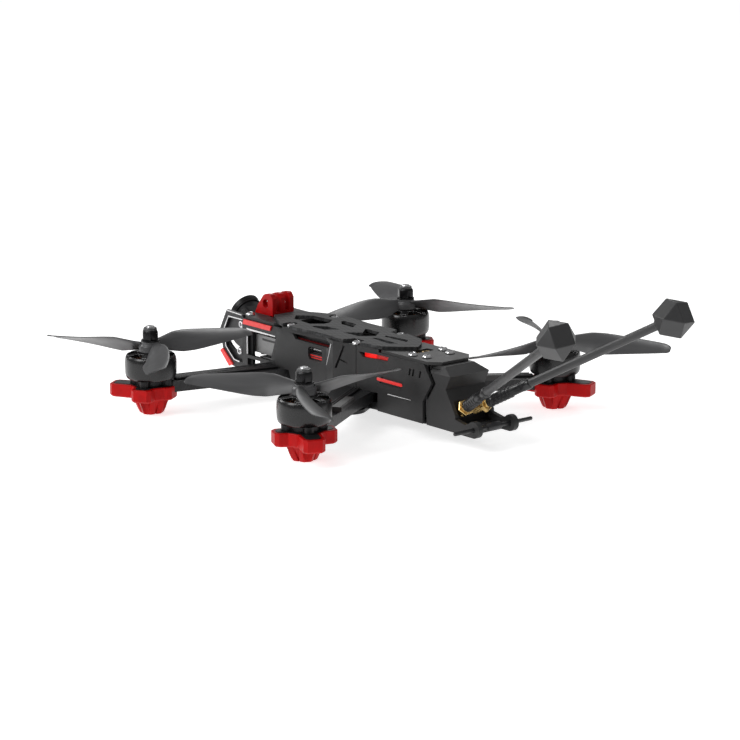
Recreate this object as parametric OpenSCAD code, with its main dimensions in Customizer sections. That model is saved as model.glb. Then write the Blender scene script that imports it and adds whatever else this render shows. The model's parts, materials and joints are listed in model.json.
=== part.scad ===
// FPV racing drone, five-inch class.
// The nose points to -Y, the left side to +X, up is +Z.
// The origin is on the underside of the bottom plate, midway between the four motors.

/* [Layout] */
// Distance of the front motor axes from the centre plane
front_motor_x = 91.5; // [88:0.5:96]
// Distance of the rear motor axes from the centre plane
rear_motor_x = 88; // [86:0.5:94]
// Distance of each motor axis ahead of or behind the origin
motor_y = 66; // [66:0.5:70]
// Height of the belly above the ground that the feet stand on
ground_gap = 8; // [7:0.5:12]

/* [Carbon plates] */
// Thickness of the bottom plate, the arm brace and the clamp plate
brace_t = 2; // [1.5:0.5:3]
// Thickness of the arms
arm_t = 6; // [5:0.5:6.5]
// Width of an arm halfway along
arm_w = 18.5; // [16:0.5:19]
// Thickness of the camera cage plates
cage_t = 1.8; // [1.5:0.1:2]
// Thickness of the top plate
top_plate_t = 1.8; // [1.5:0.1:2.5]

/* [Body shell] */
// Height of the decks' top faces above the origin
deck_z = 34.4; // [34:0.2:36]
// Thickness of the front and rear decks
deck_t = 1.6; // [1.2:0.1:2]
// Wall thickness of the side panels
wall_t = 1.6; // [1.2:0.1:2]
// Half the width of the body at the cage plates' outer faces
nose_half_w = 17.5; // [17:0.1:18.5]
// Half the width of the body at the tail block
tail_half_w = 13.6; // [13:0.1:14.5]

/* [Motors] */
// Outer diameter of a motor bell
bell_d = 28.5; // [27:0.5:30]
// Height of the straight part of the bell
bell_h = 13.6; // [12:0.2:15]
// Height of the bell's lower rim above the origin
bell_z = 11.8; // [11:0.2:13]
// Shaft diameter
shaft_d = 5; // [4:0.5:5]
// Radial running clearance between shaft and bearing
shaft_gap = 0.05; // [0.03:0.01:0.1]

/* [Propellers] */
// Tip radius of a propeller
prop_r = 64.8; // [60:0.2:65]
// Pitch, the distance that one turn advances
prop_pitch = 117; // [90:1:130]
// Widest chord of a blade
blade_chord = 16.5; // [12:0.5:18]
// Thickness of a blade at its root
blade_t = 2.2; // [1.8:0.1:3]

/* [Camera] */
// Upward tilt of the camera at rest, in degrees
camera_tilt = 30; // [20:1:30]
// Side of the square camera housing
camera_side = 19; // [17:0.5:19]
// Further upward tilt that the slot allows, in degrees
camera_travel = 25; // [20:1:25]

/* [Action camera mount] */
// Bore for the thumb screw
thumb_bore_d = 5.1; // [5:0.05:5.3]
// Thickness of each of the three prongs
prong_t = 3; // [2.8:0.1:3.1]
// Gap between two prongs
prong_gap = 3.1; // [3:0.05:3.3]

/* [Antennas] */
// Upward slope of the antennas, in degrees
antenna_rise = 28.3; // [20:0.1:35]
// Outward splay of each antenna, in degrees
antenna_splay = 18.2; // [10:0.1:20]
// Length from the connector to the centre of the antenna head
antenna_len = 122; // [100:1:130]
// Edge length of the faceted antenna head
head_edge = 10.9; // [9:0.1:12]

/* [Hidden] */

$fn = 48;
fit = 0.15;          // gap between pieces that are bolted or pushed together
screw_r = 1.5;       // radius of the M3 screws
hole_r = 1.6;        // radius of their clearance holes
head_r = 2.85;       // radius of a button head
head_h = 1.65;       // height of a button head
sunk_r = 2.75;       // radius of a countersunk head
sunk_h = 1.3;        // height of its cone

arm_z = 2 * brace_t;
clamp_z = arm_z + arm_t;
clamp_top = clamp_z + brace_t;
shell_z = clamp_z + 0.1;
deck_low = deck_z - deck_t;

// One entry per motor: side (+1 left), end (-1 front), axis x, spin (+1 anticlockwise from above)
FL = [1, -1, front_motor_x, 1];
FR = [-1, -1, front_motor_x, -1];
RL = [1, 1, rear_motor_x, -1];
RR = [-1, 1, rear_motor_x, 1];
CORNERS = [FL, FR, RL, RR];

function motor_at(c) = [c[0] * c[2], c[1] * motor_y];
function mirrored(points) = concat(points, [for (i = [len(points) - 1:-1:0]) [-points[i][0], points[i][1]]]);

// Children are drawn on the left and mirrored to the right when side is -1
module on_side(side) {
    scale_x = side > 0 ? 0 : 1;
    mirror([scale_x, 0, 0]) children();
}

// Puts a shape drawn in (y, z) upright, from x = 0 outwards by depth
module yz_plate(depth) {
    rotate([90, 0, 90]) linear_extrude(depth) children();
}

// A straight bar with round ends, from a to b in plan
module bar(a, b, w) {
    d = b - a;
    translate(a) rotate(atan2(d[1], d[0])) translate([0, -w / 2]) square([norm(d), w]);
    translate(a) circle(d = w);
    translate(b) circle(d = w);
}

module rounded_rect(size, r) {
    square([size[0] - 2 * r, size[1]], center = true);
    square([size[0], size[1] - 2 * r], center = true);
    for (x = [-1, 1], y = [-1, 1])
        translate([x * (size[0] / 2 - r), y * (size[1] / 2 - r)]) circle(r);
}

module screw_head() {
    cylinder(r1 = head_r, r2 = head_r * 0.72, h = head_h);
}

// ---------------------------------------------------------------- frame plates

// Inner end of each arm's centre line, its width there and where it leaves the body,
// and the turn of the motor pad
arm_root = [[5, -47.6], [7.5, 13.7]];
root_w = [21, 22];
shoulder_w = [20, 22.6];
pad_turn = [-12, 21];
pad_r = 9.6;
ear_w = 8;
ear_reach = [17.2, 10.8, 7.9];
pad_drop = 2;
ear_ease = 1.9;
stack_y = -14;
stack_pitch = 25.5;

function end_of(c) = c[1] < 0 ? 0 : 1;
function root_of(c) = arm_root[end_of(c)];
function turn_of(c) = pad_turn[end_of(c)];
function left_motor(c) = [c[2], c[1] * motor_y];
function arm_dir(c) = (left_motor(c) - root_of(c)) / norm(left_motor(c) - root_of(c));
function across(d) = [-d[1], d[0]];

// The ears of a motor pad: the long one points away from the middle of the drone,
// and on the front arms the one opposite to it is short
function ear_angle(c, k) = turn_of(c) + c[1] * 45 + 90 * k;
function reach_of(c, k) = ear_reach[k == 0 ? 0 : k == 2 && c[1] < 0 ? 2 : 1];

// One side of an ear from its root to its end, as [along, across]
function ear_side(reach, extra) = [
    [(pad_r + extra) * cos(39), (pad_r + extra) * sin(39)],
    [pad_r + 0.3, ear_w / 2 + extra + 0.3],
    [reach + ear_w / 2 + extra - ear_ease, ear_w / 2 + extra],
    [reach + ear_w / 2 + extra, ear_w / 2 + extra - ear_ease]
];
function turned(p, a) = [p[0] * cos(a) - p[1] * sin(a), p[0] * sin(a) + p[1] * cos(a)];

module pad_outline(c, extra) {
    translate(left_motor(c)) polygon([
        for (k = [0:3])
            let (half = ear_side(reach_of(c, k), extra))
                for (p = concat([for (q = half) [q[0], -q[1]]], [for (i = [3:-1:0]) half[i]]))
                    turned(p, ear_angle(c, k))
    ]);
}

module arm_strip(c, extra) {
    root = root_of(c);
    d = arm_dir(c);
    n = across(d);
    w0 = root_w[end_of(c)] / 2 + extra;
    w1 = shoulder_w[end_of(c)] / 2 + extra;
    w2 = arm_w / 2 + extra;
    shoulder = root + d * 13;
    mid = root + d * 36;
    tip = left_motor(c) + d;
    polygon([
        root + n * w0, shoulder + n * w1, mid + n * w2, tip + n * (w2 - 0.9),
        tip - n * (w2 - 0.9), mid - n * w2, shoulder - n * w1, root - n * w0
    ]);
}

// Four motor bolts on a circle, turned with the pad
motor_bolt_r = 9.5;

module motor_bolts(c, r) {
    for (a = [45:90:315])
        rotate(turn_of(c) + a) translate([motor_bolt_r, 0]) circle(r);
}

// Two bolts side by side through the inner end of each arm
function root_bolt(c, k) = root_of(c) + arm_dir(c) * 5 + across(arm_dir(c)) * k * 4.5;

module root_bolts(r) {
    for (c = CORNERS, k = [-1, 1])
        on_side(c[0]) translate(root_bolt(c, k)) circle(r);
}

module arm(c) {
    color("#2b2b2d") on_side(c[0]) translate([0, 0, arm_z]) difference() {
        union() {
            linear_extrude(arm_t) arm_strip(c, 0);
            linear_extrude(arm_t) pad_outline(c, 0);
        }
        // The motor pad is milled down
        translate([0, 0, arm_t - pad_drop]) linear_extrude(pad_drop + 1) pad_outline(c, 0.6);
        translate([0, 0, -1]) linear_extrude(arm_t + 2) {
            translate(left_motor(c)) circle(4);
            translate(left_motor(c)) motor_bolts(c, hole_r);
            for (k = [-1, 1]) translate(root_bolt(c, k)) circle(hole_r);
        }
    }
}

// Half outlines of the plates, left side, from the nose to the tail
BELLY = [
    [10, -90], [17.3, -84], [17.3, -62], [16.8, -40], [16.8, 8],
    [13.2, 34], [13.2, 56], [12.9, 73.6], [9, 75]
];
BRACE = [[15.5, -64], [16.8, -58], [16.8, 8], [13.2, 34], [9, 38]];
CLAMP = [[12, -66], [15.3, -62], [15.3, -46.5], [16.4, -42], [16.4, 6], [13, 24], [9, 27]];

module root_supports(front, rear) {
    for (c = CORNERS) {
        reach = c[1] < 0 ? front : rear;
        if (reach > 0)
            on_side(c[0]) bar(root_of(c), root_of(c) + arm_dir(c) * reach, arm_w);
    }
}

module stack_holes(r) {
    for (x = [-1, 1], y = [-1, 1])
        translate([x * stack_pitch / 2, stack_y + y * stack_pitch / 2]) circle(r);
}

module bottom_plate() {
    color("#2b2b2d") difference() {
        linear_extrude(brace_t) difference() {
            union() {
                polygon(mirrored(BELLY));
                root_supports(0, 22);
            }
            root_bolts(hole_r);
            stack_holes(1.1);
            standoff_holes(hole_r);
            translate([0, stack_y]) rounded_rect([16, 12], 3);
            translate([0, 50]) rounded_rect([10, 22], 3);
        }
        for (c = CORNERS, k = [-1, 1]) on_side(c[0])
            translate(concat(root_bolt(c, k), -0.01))
                cylinder(r1 = sunk_r + 0.2, r2 = hole_r - 0.2, h = sunk_h + 0.2);
        for (x = [-1, 1], y = [-1, 1])
            translate([x * stack_pitch / 2, stack_y + y * stack_pitch / 2, -0.01])
                cylinder(r1 = 2.15, r2 = 1.1, h = 1.1);
    }
}

module arm_brace() {
    color("#2b2b2d") translate([0, 0, brace_t]) linear_extrude(brace_t) difference() {
        union() {
            polygon(mirrored(BRACE));
            root_supports(14, 18);
        }
        root_bolts(hole_r);
        stack_holes(1.1);
        translate([0, stack_y]) rounded_rect([18, 16], 3);
    }
}

module clamp_plate() {
    color("#2b2b2d") translate([0, 0, clamp_z]) linear_extrude(brace_t) difference() {
        polygon(mirrored(CLAMP));
        root_bolts(screw_r + 0.02);
        stack_holes(1.1);
        translate([0, stack_y]) rounded_rect([18, 16], 3);
    }
}

// ---------------------------------------------------------------- landing feet

foot_wall = 1.6;
foot_low = 0.6;
foot_high = 7.8;
sole_r = 5.2;
stem_r = 8.6;

module foot(c) {
    m = left_motor(c);
    color("#c4141a") on_side(c[0]) difference() {
        union() {
            translate([0, 0, foot_low]) linear_extrude(foot_high - foot_low)
                pad_outline(c, foot_wall + fit);
            // The pad runs down to one small sole
            translate([m[0], m[1], -ground_gap])
                cylinder(r1 = sole_r, r2 = stem_r, h = foot_low + ground_gap + 0.01);
        }
        // Pocket for the end of the arm
        translate([0, 0, arm_z - 0.03]) linear_extrude(arm_t + 1) {
            pad_outline(c, fit);
            arm_strip(c, fit);
        }
        // Recesses for the motor screws, and the hole under the shaft
        translate([m[0], m[1], 0.9]) linear_extrude(arm_z) motor_bolts(c, head_r + 0.3);
        translate([m[0], m[1], -ground_gap - 1]) linear_extrude(ground_gap + 5) motor_bolts(c, 1.6);
        translate([m[0], m[1], 0.9]) cylinder(r = 4, h = arm_z);
    }
}

// ---------------------------------------------------------------- motors

base_h = 1.5;
base_z = clamp_z - pad_drop;
stator_r = 11.2;
stator_low = clamp_z + base_h + 1.2;
stator_h = 11;
bearing_r = 4;

module at_motor(c) {
    translate(motor_at(c)) children();
}

module motor_bases() {
    color("#1b1b1c") for (c = CORNERS) at_motor(c) {
        difference() {
            union() {
                translate([0, 0, base_z]) linear_extrude(clamp_z + base_h - base_z) {
                    circle(8.2);
                    for (a = [45:90:315])
                        rotate(c[0] * turn_of(c) + a) bar([0, 0], [motor_bolt_r, 0], 5.4);
                }
                // Tube that carries the bearings and the stator
                translate([0, 0, base_z]) cylinder(r = bearing_r + 1, h = stator_low + stator_h - base_z);
            }
            translate([0, 0, base_z - 1]) cylinder(r = shaft_d / 2 + shaft_gap, h = stator_h + 12);
            translate([0, 0, base_z - 1]) linear_extrude(6) for (a = [45:90:315])
                rotate(c[0] * turn_of(c) + a) translate([motor_bolt_r, 0]) circle(screw_r + 0.02);
        }
    }
}

teeth = 12;

module stators() {
    color("#b5651d") for (c = CORNERS) at_motor(c) translate([0, 0, stator_low + 0.6])
        linear_extrude(stator_h - 1.2) difference() {
            union() {
                circle(6.6);
                for (i = [0:teeth - 1]) rotate(i * 360 / teeth) {
                    translate([4, -1]) square([6.4, 2]);
                    translate([stator_r - 1.1, -2.1]) square([1.1, 4.2]);
                }
            }
            circle(bearing_r + 1 + 0.02);
        }
}

bell_r = bell_d / 2;
bell_top = bell_z + bell_h;
seat_z = bell_top + 0.8;
shaft_top = 40.6;
spokes = 6;

module bell(c) {
    color("#161617") at_motor(c) {
        difference() {
            // Barrel-shaped wall with chamfered rims, and a domed cap
            rotate_extrude() polygon([
                [bell_r - 2, bell_z], [bell_r - 0.8, bell_z], [bell_r - 0.15, bell_z + 1],
                [bell_r, bell_z + bell_h / 2], [bell_r - 0.15, bell_top - 1.6],
                [bell_r - 1.2, bell_top - 0.2], [9.5, bell_top], [6.6, seat_z], [0, seat_z],
                [0, seat_z - 1.4], [bell_r - 2, bell_top - 2]
            ]);
            for (i = [0:spokes - 1]) rotate(i * 360 / spokes + 12)
                translate([0, 0, bell_top - 3]) linear_extrude(6)
                    polygon([[7.2, -2.2], [12.9, -4.1], [12.9, 4.1], [7.2, 2.2]]);
        }
        // Shaft, fixed in the cap
        translate([0, 0, clamp_z + 0.4]) cylinder(d = shaft_d, h = seat_z - 0.7 - clamp_z);
        translate([0, 0, seat_z - 0.7]) cylinder(d = shaft_d, h = shaft_top - seat_z + 0.7);
    }
}

// ---------------------------------------------------------------- propellers

hub_r = 6.4;
hub_neck_r = 5.2;
hub_h = 5.9;
hub_z = seat_z;
blade_z = hub_z + hub_h / 2;
blade_root = 3.6;
stations = 14;
blades = 3;

// Blade angle, chord and thickness at a fraction s of the way from root to tip
function span(s) = blade_root + (prop_r - blade_root) * s;
function twist(s) = min(46, atan(prop_pitch / (2 * PI * span(s))));
function chord(s) =
    blade_chord * (0.46 + 0.54 * sin(min(1, s / 0.42) * 90)) * (1 - 0.42 * pow(max(0, s - 0.4) / 0.6, 1.6));
function thick(s) = blade_t * (1 - 0.72 * s);
function sweep_y(s) = -3.2 * pow(s, 2) + 1.2;

// Section points (along the chord, and up), a flat-bottomed curved aerofoil
SECTION = [
    [-0.5, 0], [-0.3, 0.34], [0, 0.62], [0.3, 0.56],
    [0.5, 0.12], [0.32, -0.2], [0, -0.12], [-0.3, -0.12]
];

function blade_ring(s, spin) = [
    for (p = SECTION)
        let (
            u = p[0] * chord(s),
            v = p[1] * thick(s) + 0.06 * chord(s) * (1 - pow(2 * p[0], 2)),
            a = twist(s)
        )
        [span(s), spin * (sweep_y(s) + u * cos(a) - v * sin(a)), u * sin(a) + v * cos(a)]
];

module blade(spin) {
    n = len(SECTION);
    points = [for (i = [0:stations]) each blade_ring(i / stations, spin)];
    sides = [
        for (i = [0:stations - 1], j = [0:n - 1])
            let (a = i * n + j, b = i * n + (j + 1) % n)
            each spin > 0 ? [[a, b, b + n], [a, b + n, a + n]] : [[a, b + n, b], [a, a + n, b + n]]
    ];
    root_cap = [for (j = [0:n - 1]) spin > 0 ? n - 1 - j : j];
    tip_cap = [for (j = [0:n - 1]) stations * n + (spin > 0 ? j : n - 1 - j)];
    polyhedron(points, concat(sides, [root_cap, tip_cap]), convexity = 4);
}

// Turn of each propeller at rest, in the order of CORNERS
rest_turn = [59.6, 3.9, 58.8, 5];

module propeller(c, turn) {
    color("#4a4c4e") at_motor(c) {
        difference() {
            union() {
                translate([0, 0, hub_z + 0.02]) cylinder(r = hub_r, h = hub_h - 1.4, $fn = 12);
                translate([0, 0, hub_z + 0.02]) cylinder(r = hub_neck_r, h = hub_h - 0.02, $fn = 12);
                translate([0, 0, blade_z]) for (i = [0:blades - 1])
                    rotate(turn + i * 360 / blades) blade(c[3]);
            }
            translate([0, 0, hub_z - 10]) cylinder(d = shaft_d + 0.04, h = 30);
        }
    }
}

nut_z = hub_z + hub_h;
nut_across = 8;

module prop_nut(c) {
    color("#232324") at_motor(c) difference() {
        union() {
            translate([0, 0, nut_z]) cylinder(r = 5.2, h = 1.1);
            translate([0, 0, nut_z + 1.1]) cylinder(d = nut_across / cos(30), h = 5.2, $fn = 6);
            translate([0, 0, nut_z + 6.3]) cylinder(r = 3.7, h = 1.5);
        }
        translate([0, 0, nut_z - 1]) cylinder(d = shaft_d + 0.04, h = 20);
    }
}

// ---------------------------------------------------------------- motor wires

wire_r = 0.65;
wire_pitch = 1.7;
wire_from = 17;
wire_offset = [3.6, 1.4];

// Three phase wires lie side by side along each arm, from the body to the motor
module motor_wires() {
    color("#151515") for (c = CORNERS) on_side(c[0]) {
        d = arm_dir(c);
        run = norm(left_motor(c) - root_of(c)) - wire_from - 13;
        for (k = [-1:1]) {
            start = root_of(c) + d * wire_from + across(d) * (wire_offset[end_of(c)] + k * wire_pitch);
            translate(concat(start, clamp_z + wire_r + 0.03))
                rotate([0, 90, atan2(d[1], d[0])]) cylinder(r = wire_r, h = run, $fn = 24);
        }
    }
}

// ---------------------------------------------------------------- camera nose

pivot = [-83.8, 28.2];
slot_screw = [-85.2, 12.5];
slot_r = norm(slot_screw - pivot);
slot_angle = atan2(slot_screw[1] - pivot[1], slot_screw[0] - pivot[0]);
cheek_x = 14.2;
cheek_t = 1.3;
NOSE = [
    [-96.3, deck_z + 0.7], [-102.7, 23.4], [-100.3, 12.3], [-91.5, 3.2], [-84, 2.1],
    [-76.6, 2.1], [-76.6, shell_z], [-48.3, shell_z], [-51.4, 14.7], [-43.6, deck_low - 0.1],
    [-80.5, deck_low - 0.1], [-81.4, deck_z]
];
RING = [[-94.4, 31.2], [-98.9, 23.4], [-97, 13.6], [-89.6, 7.2], [-81.4, 6.4], [-81.4, 31.2]];
SIDE_WINDOW = [[-76.6, 12], [-52.4, 12], [-54.2, 14.6], [-49.6, 26.6], [-76.6, 26.6]];

module camera_cage(side) {
    color("#262628") on_side(side) translate([nose_half_w - cage_t, 0, 0]) yz_plate(cage_t) difference() {
        polygon(NOSE);
        polygon(RING);
        polygon(SIDE_WINDOW);
    }
}

// An arc slot about the pivot, drawn with straight-sided wedges and round ends
module arc_slot(r, from, to, w) {
    intersection() {
        difference() {
            circle(r + w / 2, $fn = 96);
            circle(r - w / 2, $fn = 96);
        }
        polygon([[0, 0], for (a = [from:(to - from) / 4:to]) [cos(a), sin(a)] * r * 2]);
    }
    for (a = [from, to]) translate([cos(a), sin(a)] * r) circle(d = w);
}

CHEEK = [[-95.4, 32.5], [-100.6, 23.4], [-98.6, 13], [-90, 4.6], [-84, 2.1], [-78.4, 2.1], [-78.4, 32.5]];

module camera_cheeks() {
    color("#333335") for (side = [1, -1]) on_side(side) translate([cheek_x, 0, 0]) yz_plate(cheek_t)
        difference() {
            polygon(CHEEK);
            translate(pivot) circle(screw_r + 0.02);
            translate(pivot)
                arc_slot(slot_r, slot_angle - camera_travel - 16, slot_angle + 1.5, 2 * screw_r + 0.8);
        }
}

module ring_screw(p) {
    translate([0, p[0], p[1]]) rotate([0, 90, 0]) children();
}

module camera_pivot_screws() {
    color("silver") for (side = [1, -1]) on_side(side) ring_screw(pivot) {
        translate([0, 0, cheek_x + cheek_t + 0.02]) difference() {
            cylinder(r = 2.4, h = 1.3);
            translate([0, 0, 0.5]) cylinder(r = 1.1, h = 2);
        }
        translate([0, 0, half + 0.5]) cylinder(r = screw_r, h = cheek_x + cheek_t - half - 0.2);
    }
}

// The camera's own frame: y along the lens, away from the nose; z up
cam_centre = [-88.8, 24.7];
half = camera_side / 2;

module in_camera() {
    translate([0, cam_centre[0], cam_centre[1]]) rotate([-camera_tilt, 0, 0]) children();
}

module camera_housing() {
    color("#1d1d1f") in_camera() rotate([90, 0, 0]) translate([0, 0, -7]) {
        linear_extrude(14) rounded_rect([camera_side, camera_side], 2.2);
        translate([0, 0, 14]) cylinder(r = 8.2, h = 5.5);
    }
}

module camera_lens() {
    color("#0d0d10") in_camera() rotate([90, 0, 0]) {
        translate([0, 0, 12.55]) difference() {
            cylinder(r1 = 8.8, r2 = 9.5, h = 3.9);
            translate([0, 0, 2]) cylinder(r1 = 6.4, r2 = 8.4, h = 2);
        }
        // Domed glass
        translate([0, 0, 14.4]) intersection() {
            translate([0, 0, -5.6]) sphere(r = 8.4);
            cylinder(r = 6.2, h = 5);
        }
    }
}

module camera_cradle() {
    color("#333335") for (side = [1, -1]) on_side(side) difference() {
        union() {
            in_camera() translate([half + 0.05, -6.5, -half + 1]) cube([1.6, 13, camera_side - 2]);
            translate([half + 1.6, 0, 0]) yz_plate(cheek_x - half - 1.9) union() {
                translate(pivot) circle(3.4);
                translate(slot_screw) circle(3);
                bar(pivot, slot_screw, 5);
            }
            // Web between the camera's side and the tilt link
            translate([half + 0.1, 0, 0]) yz_plate(2.2) bar([-86.5, 24.5], [-84.2, 17], 5);
        }
        translate([0, pivot[0], pivot[1]]) rotate([0, 90, 0]) cylinder(r = screw_r + 0.05, h = 20);
        translate([0, slot_screw[0], slot_screw[1]]) rotate([0, 90, 0]) cylinder(r = screw_r + 0.01, h = 20);
    }
}

module camera_slot_screws() {
    color("silver") for (side = [1, -1]) on_side(side) ring_screw(slot_screw) {
        translate([0, 0, cheek_x + cheek_t + 0.35]) difference() {
            cylinder(r = 2.4, h = 1.3);
            translate([0, 0, 0.5]) cylinder(r = 1.1, h = 2);
        }
        translate([0, 0, half + 1.8]) cylinder(r = screw_r, h = cheek_x + cheek_t - half - 1.4);
    }
}

// ---------------------------------------------------------------- body shell

// Outer edge of the shell in plan, left side, front to back
SHELL = [[18.5, -50.5], [18.5, -3], [20.6, 5], [17.6, 18], [15, 36], [15, 50], [14.5, 80.5]];
SIDE_EDGE = [
    [-48.2, shell_z], [-50.4, 14.7], [-42.6, deck_z - 0.1], [20.8, deck_z - 0.1],
    [20.8, shell_z], [4.5, shell_z], [2.5, 4.1], [-35, 4.1], [-37, shell_z]
];
REAR_EDGE = [
    [21.2, shell_z], [21.2, deck_z - 0.1], [37.4, deck_z - 0.1], [37.4, deck_low - 0.1],
    [74, deck_low - 0.1], [80.3, 23.4], [73.3, 12.6], [73.3, 0.3], [36.6, 0.3], [36.6, shell_z]
];
UPPER_SLOT = [[-36.7, 31.8], [-33, 31.5], [-30.7, 29], [-0.7, 28.9], [1.9, 31.9], [-1.6, 32.8]];
SIDE_VENT = [
    [-19.4, 21.5], [-18, 19.7], [-8.4, 19.7], [-7, 21],
    [-7, 25.6], [-8.4, 27], [-18, 27], [-19.4, 25.6]
];
REAR_WINDOW = [[23, 31], [45.8, 31.4], [44.6, 29], [26, 28.3]];
post_x = 15.5;
post_y = [-38, 19.5];
deck_posts = [[10.55, 60.5], [8, 69]];
nose_screw = [14.1, -77.9];

module standoff_holes(r) {
    for (side = [-1, 1], p = deck_posts) translate([side * p[0], p[1]]) circle(r);
}

module shell_wall() {
    inner = [for (i = [len(SHELL) - 1:-1:0]) [SHELL[i][0] - wall_t, SHELL[i][1]]];
    translate([0, 0, -1]) linear_extrude(deck_z + 2) polygon(concat(SHELL, inner));
}

module post(p, low, r) {
    translate([p[0], p[1], low]) cylinder(r = r, h = deck_z - 0.1 - low);
}

module side_panel(side) {
    color("#4a4a4c") on_side(side) difference() {
        union() {
            intersection() {
                shell_wall();
                yz_plate(40) polygon(SIDE_EDGE);
            }
            post([post_x, post_y[0]], 22, 3);
            post([post_x, post_y[1]], 22, 1.28);
            // Arm that carries the rear screw, inside the skin
            translate([14, 15.9, 22]) cube([3.2, 4.8, deck_z - 22.1]);
        }
        yz_plate(40) polygon(UPPER_SLOT);
        yz_plate(40) polygon(SIDE_VENT);
        // Forked groove
        translate([18.2, 0, 0]) yz_plate(10) {
            polygon([[12, 32.6], [13.4, 32.6], [7.6, 19.4], [6.2, 19.4]]);
            polygon([[9.2, 25.2], [10, 24.2], [17.4, 22.2], [17, 23.4]]);
        }
        for (y = post_y) translate([post_x, y, 24]) cylinder(r = screw_r + 0.02, h = 20);
    }
}

module rear_panel(side) {
    color("#4a4a4c") on_side(side) difference() {
        intersection() {
            shell_wall();
            yz_plate(40) polygon(REAR_EDGE);
        }
        yz_plate(40) polygon(REAR_WINDOW);
        for (y = [61.8, 64.6, 70]) yz_plate(40) polygon([
            [y, 24.6], [y + 1.3, 24.6], [y + 2.1, 28.4], [y + 0.8, 28.4]
        ]);
        // Long shallow groove and a plain oblong recess
        translate([14.3, 0, 0]) yz_plate(10) polygon([[45, 10.7], [64.2, 10.9], [63.8, 11.6], [45, 11.4]]);
        translate([14.4, 0, 0]) yz_plate(10) polygon([[38, 16], [56, 16], [58, 20], [40, 20]]);
    }
}

FRONT_DECK = [[11, -81], [11, -82.4], [15.2, -82.4], [17.2, -78], [17.2, -52], [12, -48]];
REAR_DECK = [[12, 37.8], [14.8, 39.6], [14.6, 77], [9, 82.6]];
TOP_PLATE = [
    [8.5, -63], [16, -50], [18, -45], [20, -38], [20, -26], [18.5, -12], [18.5, 2],
    [19.5, 9], [19, 12], [12.6, 14.4], [12, 22], [17, 24], [14, 39], [7, 47], [0.6, 52]
];
lead_gap = [14.4, 5.6];
lead_y = 55;

module front_deck() {
    color("#4a4a4c") translate([0, 0, deck_low]) linear_extrude(deck_t) difference() {
        polygon(mirrored(FRONT_DECK));
        // Openings over the video transmitter
        for (x = [-7, 7]) translate([x, -62]) rounded_rect([3, 12], 1.4);
        for (side = [-1, 1]) translate([side * nose_screw[0], nose_screw[1]]) circle(screw_r + 0.02);
    }
}

module rear_deck() {
    color("#4a4a4c") translate([0, 0, deck_low]) linear_extrude(deck_t) difference() {
        polygon(mirrored(REAR_DECK));
        translate([0, lead_y]) rounded_rect(lead_gap, 1.6);
        standoff_holes(hole_r);
    }
}

module both_sides() {
    children();
    mirror([1, 0]) children();
}

module top_plate() {
    color("#2b2b2d") translate([0, 0, deck_z]) linear_extrude(top_plate_t) difference() {
        polygon(mirrored(TOP_PLATE));
        polygon([[0, -54], [6.7, -46.8], [8, -31], [2, -26], [-2, -26], [-8, -31], [-6.7, -46.8]]);
        polygon([[-8, -1.5], [0, 5.8], [8, -1.5], [7.5, 11.2], [0, 17], [-7.5, 11.2]]);
        both_sides() {
            translate([post_x, post_y[0]]) circle(3.5);
            translate([post_x, post_y[0] - 3.5]) square([10, 7]);
            bar([10.2, -23.4], [6.3, -18.2], 3);
            polygon([[11.8, -24.6], [5, -19.2], [4.6, -8.2], [11.4, -13.6]]);
            polygon([[5, 19.5], [2.5, 21.5], [3, 39.5], [6.9, 36]]);
        }
    }
}

TAIL = [
    [76.2, deck_low - 0.1], [82.5, 23.4], [75.4, 12.6], [75.4, 0], [98.6, 0],
    [98.2, 9.1], [90.5, 21.7], [94, 29], [86, deck_low - 0.1]
];
TAIL_INSIDE = [[70, 2], [92, 2], [92, 13], [87, 21.4], [88.6, 28.6], [84.4, 31], [70, 31]];
lug = [112.7, 4.4];
lug_r = 4.4;

module in_antenna() {
    translate([6.7, 98.3, 12.6]) rotate([antenna_rise - 90, 0, -antenna_splay]) children();
}

module tail_block() {
    color("#4a4a4c") difference() {
        union() {
            translate([-tail_half_w, 0, 0]) yz_plate(2 * tail_half_w) polygon(TAIL);
            for (side = [-1, 1]) on_side(side) translate([11, 0, 0]) yz_plate(3) {
                polygon([[98, 0], [lug[0], 0], [lug[0], 2 * lug_r - 0.2], [106, 6], [98, 7.5]]);
                translate(lug) circle(lug_r);
            }
            translate([-12, 104, 0]) cube([24, 3, 3]);
        }
        translate([-tail_half_w + wall_t, 0, 0]) yz_plate(2 * (tail_half_w - wall_t)) polygon(TAIL_INSIDE);
        // Sunk rear face that carries the antenna connectors
        translate([-11.4, 94, 3]) cube([22.8, 20, 15]);
        for (side = [-1, 1]) on_side(side) {
            in_antenna() translate([0, 0, -14]) cylinder(r = 3.3, h = 14);
            translate([5, lug[0], lug[1]]) rotate([0, 90, 0]) cylinder(r = 1.25, h = 20);
            // Upper corners slope in towards the deck
            translate([tail_half_w, 70, 29]) rotate([0, -42, 0]) cube([10, 40, 12]);
        }
    }
}

// Side view of the prongs
PRONG = [
    [-82.3, deck_z + 0.1], [-79.3, 39.7], [-74.4, 45.6], [-72.8, 46.5],
    [-68.6, 47], [-67.4, 46.6], [-65.7, 44.4], [-65.7, deck_z + 0.1]
];
thumb_bore = [-72.2, 41];

mount_w = 3 * prong_t + 2 * prong_gap;

module action_camera_mount() {
    color("#c4141a") difference() {
        translate([-mount_w / 2, 0, 0]) yz_plate(mount_w) polygon(PRONG);
        for (side = [-1, 1])
            translate([side * (prong_t + prong_gap) / 2 - prong_gap / 2, -90, deck_z + 2.1])
                cube([prong_gap, 40, 30]);
        translate([-20, thumb_bore[0], thumb_bore[1]]) rotate([0, 90, 0]) cylinder(d = thumb_bore_d, h = 40);
    }
}

// ---------------------------------------------------------------- antennas

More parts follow.
